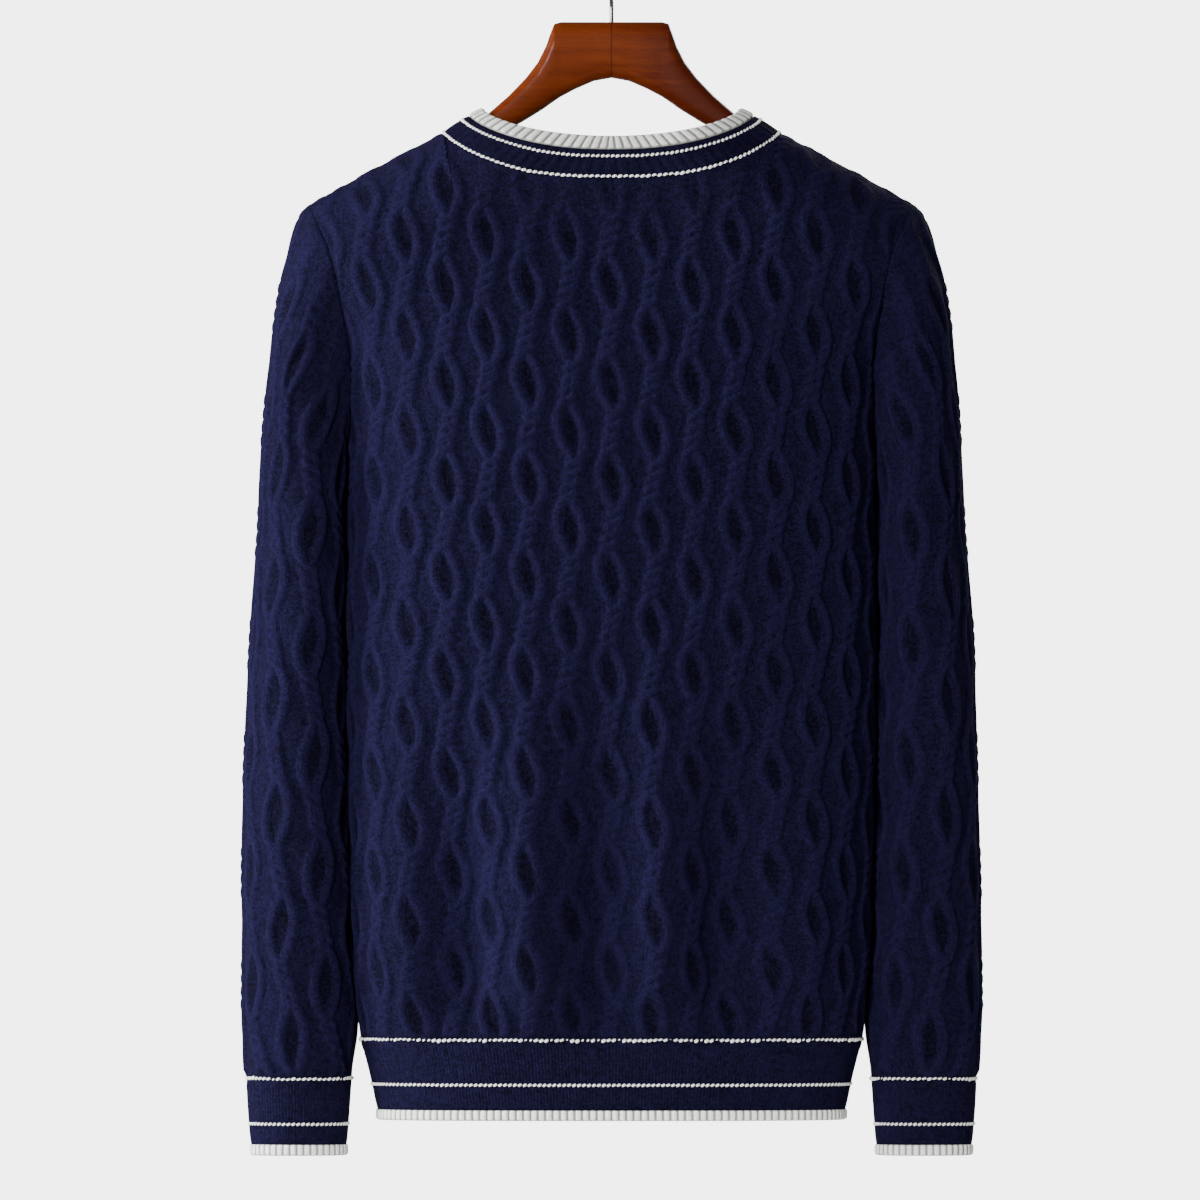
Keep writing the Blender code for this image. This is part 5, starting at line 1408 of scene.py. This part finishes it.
class SWEATER_OT_cuffs(bpy.types.Operator):
    """Build the cuffs, their white rib edges and their white lines"""

    bl_idname = "sweater.cuffs"
    bl_label = "Cuffs"

    def execute(self, context):
        knit, trim = context.scene.sweater_knit, context.scene.sweater_trim
        heights = fine_heights(CUFF_SEAM_HEIGHT, CUFF_ROWS[-1].height, CUFF_BOTTOM)
        places = (np.arange(CUFF_POINTS) / CUFF_POINTS)[None]
        for side_name, hand in (("left", -1), ("right", 1)):
            def ring_at(height, places, lift, hand=hand):
                return cuff_ring(hand, height, places, lift)

            length = ring_length(ring_at(CUFF_MEASURED_AT, places, np.zeros(places.shape))[0])
            lines = (("cuff_seam_line_" + side_name, CUFF_SEAM_HEIGHT, 0.8),
                     ("cuff_line_" + side_name, CUFF_LINE_HEIGHT, 0.15))
            names = "cuff_" + side_name, "cuff_edge_" + side_name
            band, on_band = trimmed_band(names, ring_at, length, heights, fine_ribs(trim),
                                         FINE_EDGE_FORM, lines, CUFF_POINTS, knit, trim)
        return {"FINISHED"}


class SWEATER_OT_hanger(bpy.types.Operator):
    """Build the hanger's two wooden halves and its wire hook"""

    bl_idname = "sweater.hanger"
    bl_label = "Hanger"

    def execute(self, context):
        hanger = context.scene.sweater_hanger
        wood = wood_finish(hanger)
        for name, hand in (("hanger_left", -1), ("hanger_right", 1)):
            make_wood(name, hand, hanger, wood)
        make_hook(steel_finish())
        return {"FINISHED"}


class SWEATER_OT_stage(bpy.types.Operator):
    """Set up the floor, the studio light and the camera"""

    bl_idname = "sweater.stage"
    bl_label = "Stage"

    def execute(self, context):
        stage = context.scene.sweater_stage
        target = Vector((stage.aside, 0.0, stage.camera_height))
        camera_data = bpy.data.cameras.new("view")
        camera_data.lens = camera_data.sensor_width * stage.distance / stage.view_width
        camera_data.clip_end = 60.0
        camera = bpy.data.objects.new("view", camera_data)
        camera.location = target + Vector((0.0, -stage.distance, 0.0))
        camera.rotation_euler = (math.pi / 2, 0.0, 0.0)
        context.scene.collection.objects.link(camera)
        context.scene.camera = camera
        lights = (
            ("key_light", (-3.0, -0.30, 0.20), 1.2, stage.key_power),
            ("front_light", (-1.25, -3.1, 0.45), 0.7, stage.fill_power),
            ("back_light", (1.2, 3.0, 0.9), 1.4, stage.fill_power * 0.6),
        )
        for name, place, size, power in lights:
            data = bpy.data.lights.new(name, "AREA")
            data.shape = "DISK"
            data.size = size
            data.energy = power
            lamp = bpy.data.objects.new(name, data)
            lamp.location = place
            lamp.rotation_euler = (target - lamp.location).to_track_quat("-Z", "Y").to_euler()
            context.scene.collection.objects.link(lamp)
        make_world(context.scene, stage)
        angle = np.arange(FLOOR_SIDES) / FLOOR_SIDES * 2 * math.pi
        rim = np.stack([np.cos(angle), np.sin(angle), np.zeros(FLOOR_SIDES)], axis=-1)
        rim *= stage.floor_radius
        rim[:, 2] = stage.floor_height
        mesh = bpy.data.meshes.new("floor")
        mesh.from_pydata(rim.tolist(), [], [list(range(FLOOR_SIDES))])
        mesh.materials.append(floor_finish())
        floor = bpy.data.objects.new("floor", mesh)
        context.scene.collection.objects.link(floor)
        return {"FINISHED"}


def make_world(scene, stage):
    """Even studio light, with a pale backdrop where the camera looks past the object."""
    world = bpy.data.worlds.new("studio")
    world.use_nodes = True
    tree = world.node_tree
    tree.nodes.clear()
    output = tree.nodes.new("ShaderNodeOutputWorld")
    switch = tree.nodes.new("ShaderNodeMixShader")
    seen = tree.nodes.new("ShaderNodeLightPath")
    tree.links.new(seen.outputs["Is Camera Ray"], switch.inputs[0])
    for i, strength in enumerate((stage.surround, stage.backdrop)):
        light = tree.nodes.new("ShaderNodeBackground")
        light.inputs[0].default_value = (1.0, 1.0, 1.0, 1)
        light.inputs[1].default_value = strength
        tree.links.new(light.outputs[0], switch.inputs[i + 1])
    tree.links.new(switch.outputs[0], output.inputs[0])
    scene.world = world


class SWEATER_PT_panel(bpy.types.Panel):
    """The steps of the build, in order"""

    bl_idname = "SWEATER_PT_panel"
    bl_label = "Sweater"
    bl_space_type = "VIEW_3D"
    bl_region_type = "UI"
    bl_category = "Sweater"

    def draw(self, context):
        for operator in OPERATORS:
            self.layout.operator(operator.bl_idname)
        for group in ("sweater_knit", "sweater_trim", "sweater_hanger", "sweater_stage"):
            settings = getattr(context.scene, group)
            box = self.layout.box()
            for key in settings.__annotations__:
                box.prop(settings, key)


OPERATORS = (SWEATER_OT_panels, SWEATER_OT_sleeves, SWEATER_OT_neck, SWEATER_OT_hem,
             SWEATER_OT_cuffs, SWEATER_OT_hanger, SWEATER_OT_stage)
GROUPS = (("sweater_knit", KnitSettings), ("sweater_trim", TrimSettings),
          ("sweater_hanger", HangerSettings), ("sweater_stage", StageSettings))


def register():
    for _, group in GROUPS:
        bpy.utils.register_class(group)
    for item in OPERATORS + (SWEATER_PT_panel,):
        bpy.utils.register_class(item)
    for name, group in GROUPS:
        setattr(bpy.types.Scene, name, PointerProperty(type=group))


def unregister():
    for name, _ in GROUPS:
        delattr(bpy.types.Scene, name)
    for item in reversed(OPERATORS + (SWEATER_PT_panel,)):
        bpy.utils.unregister_class(item)
    for _, group in reversed(GROUPS):
        bpy.utils.unregister_class(group)


def main():
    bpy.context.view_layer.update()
    register()
    bpy.ops.sweater.panels()
    bpy.ops.sweater.sleeves()
    bpy.ops.sweater.neck()
    bpy.ops.sweater.hem()
    bpy.ops.sweater.cuffs()
    bpy.ops.sweater.hanger()
    bpy.ops.sweater.stage()


if __name__ == "__main__":
    main()
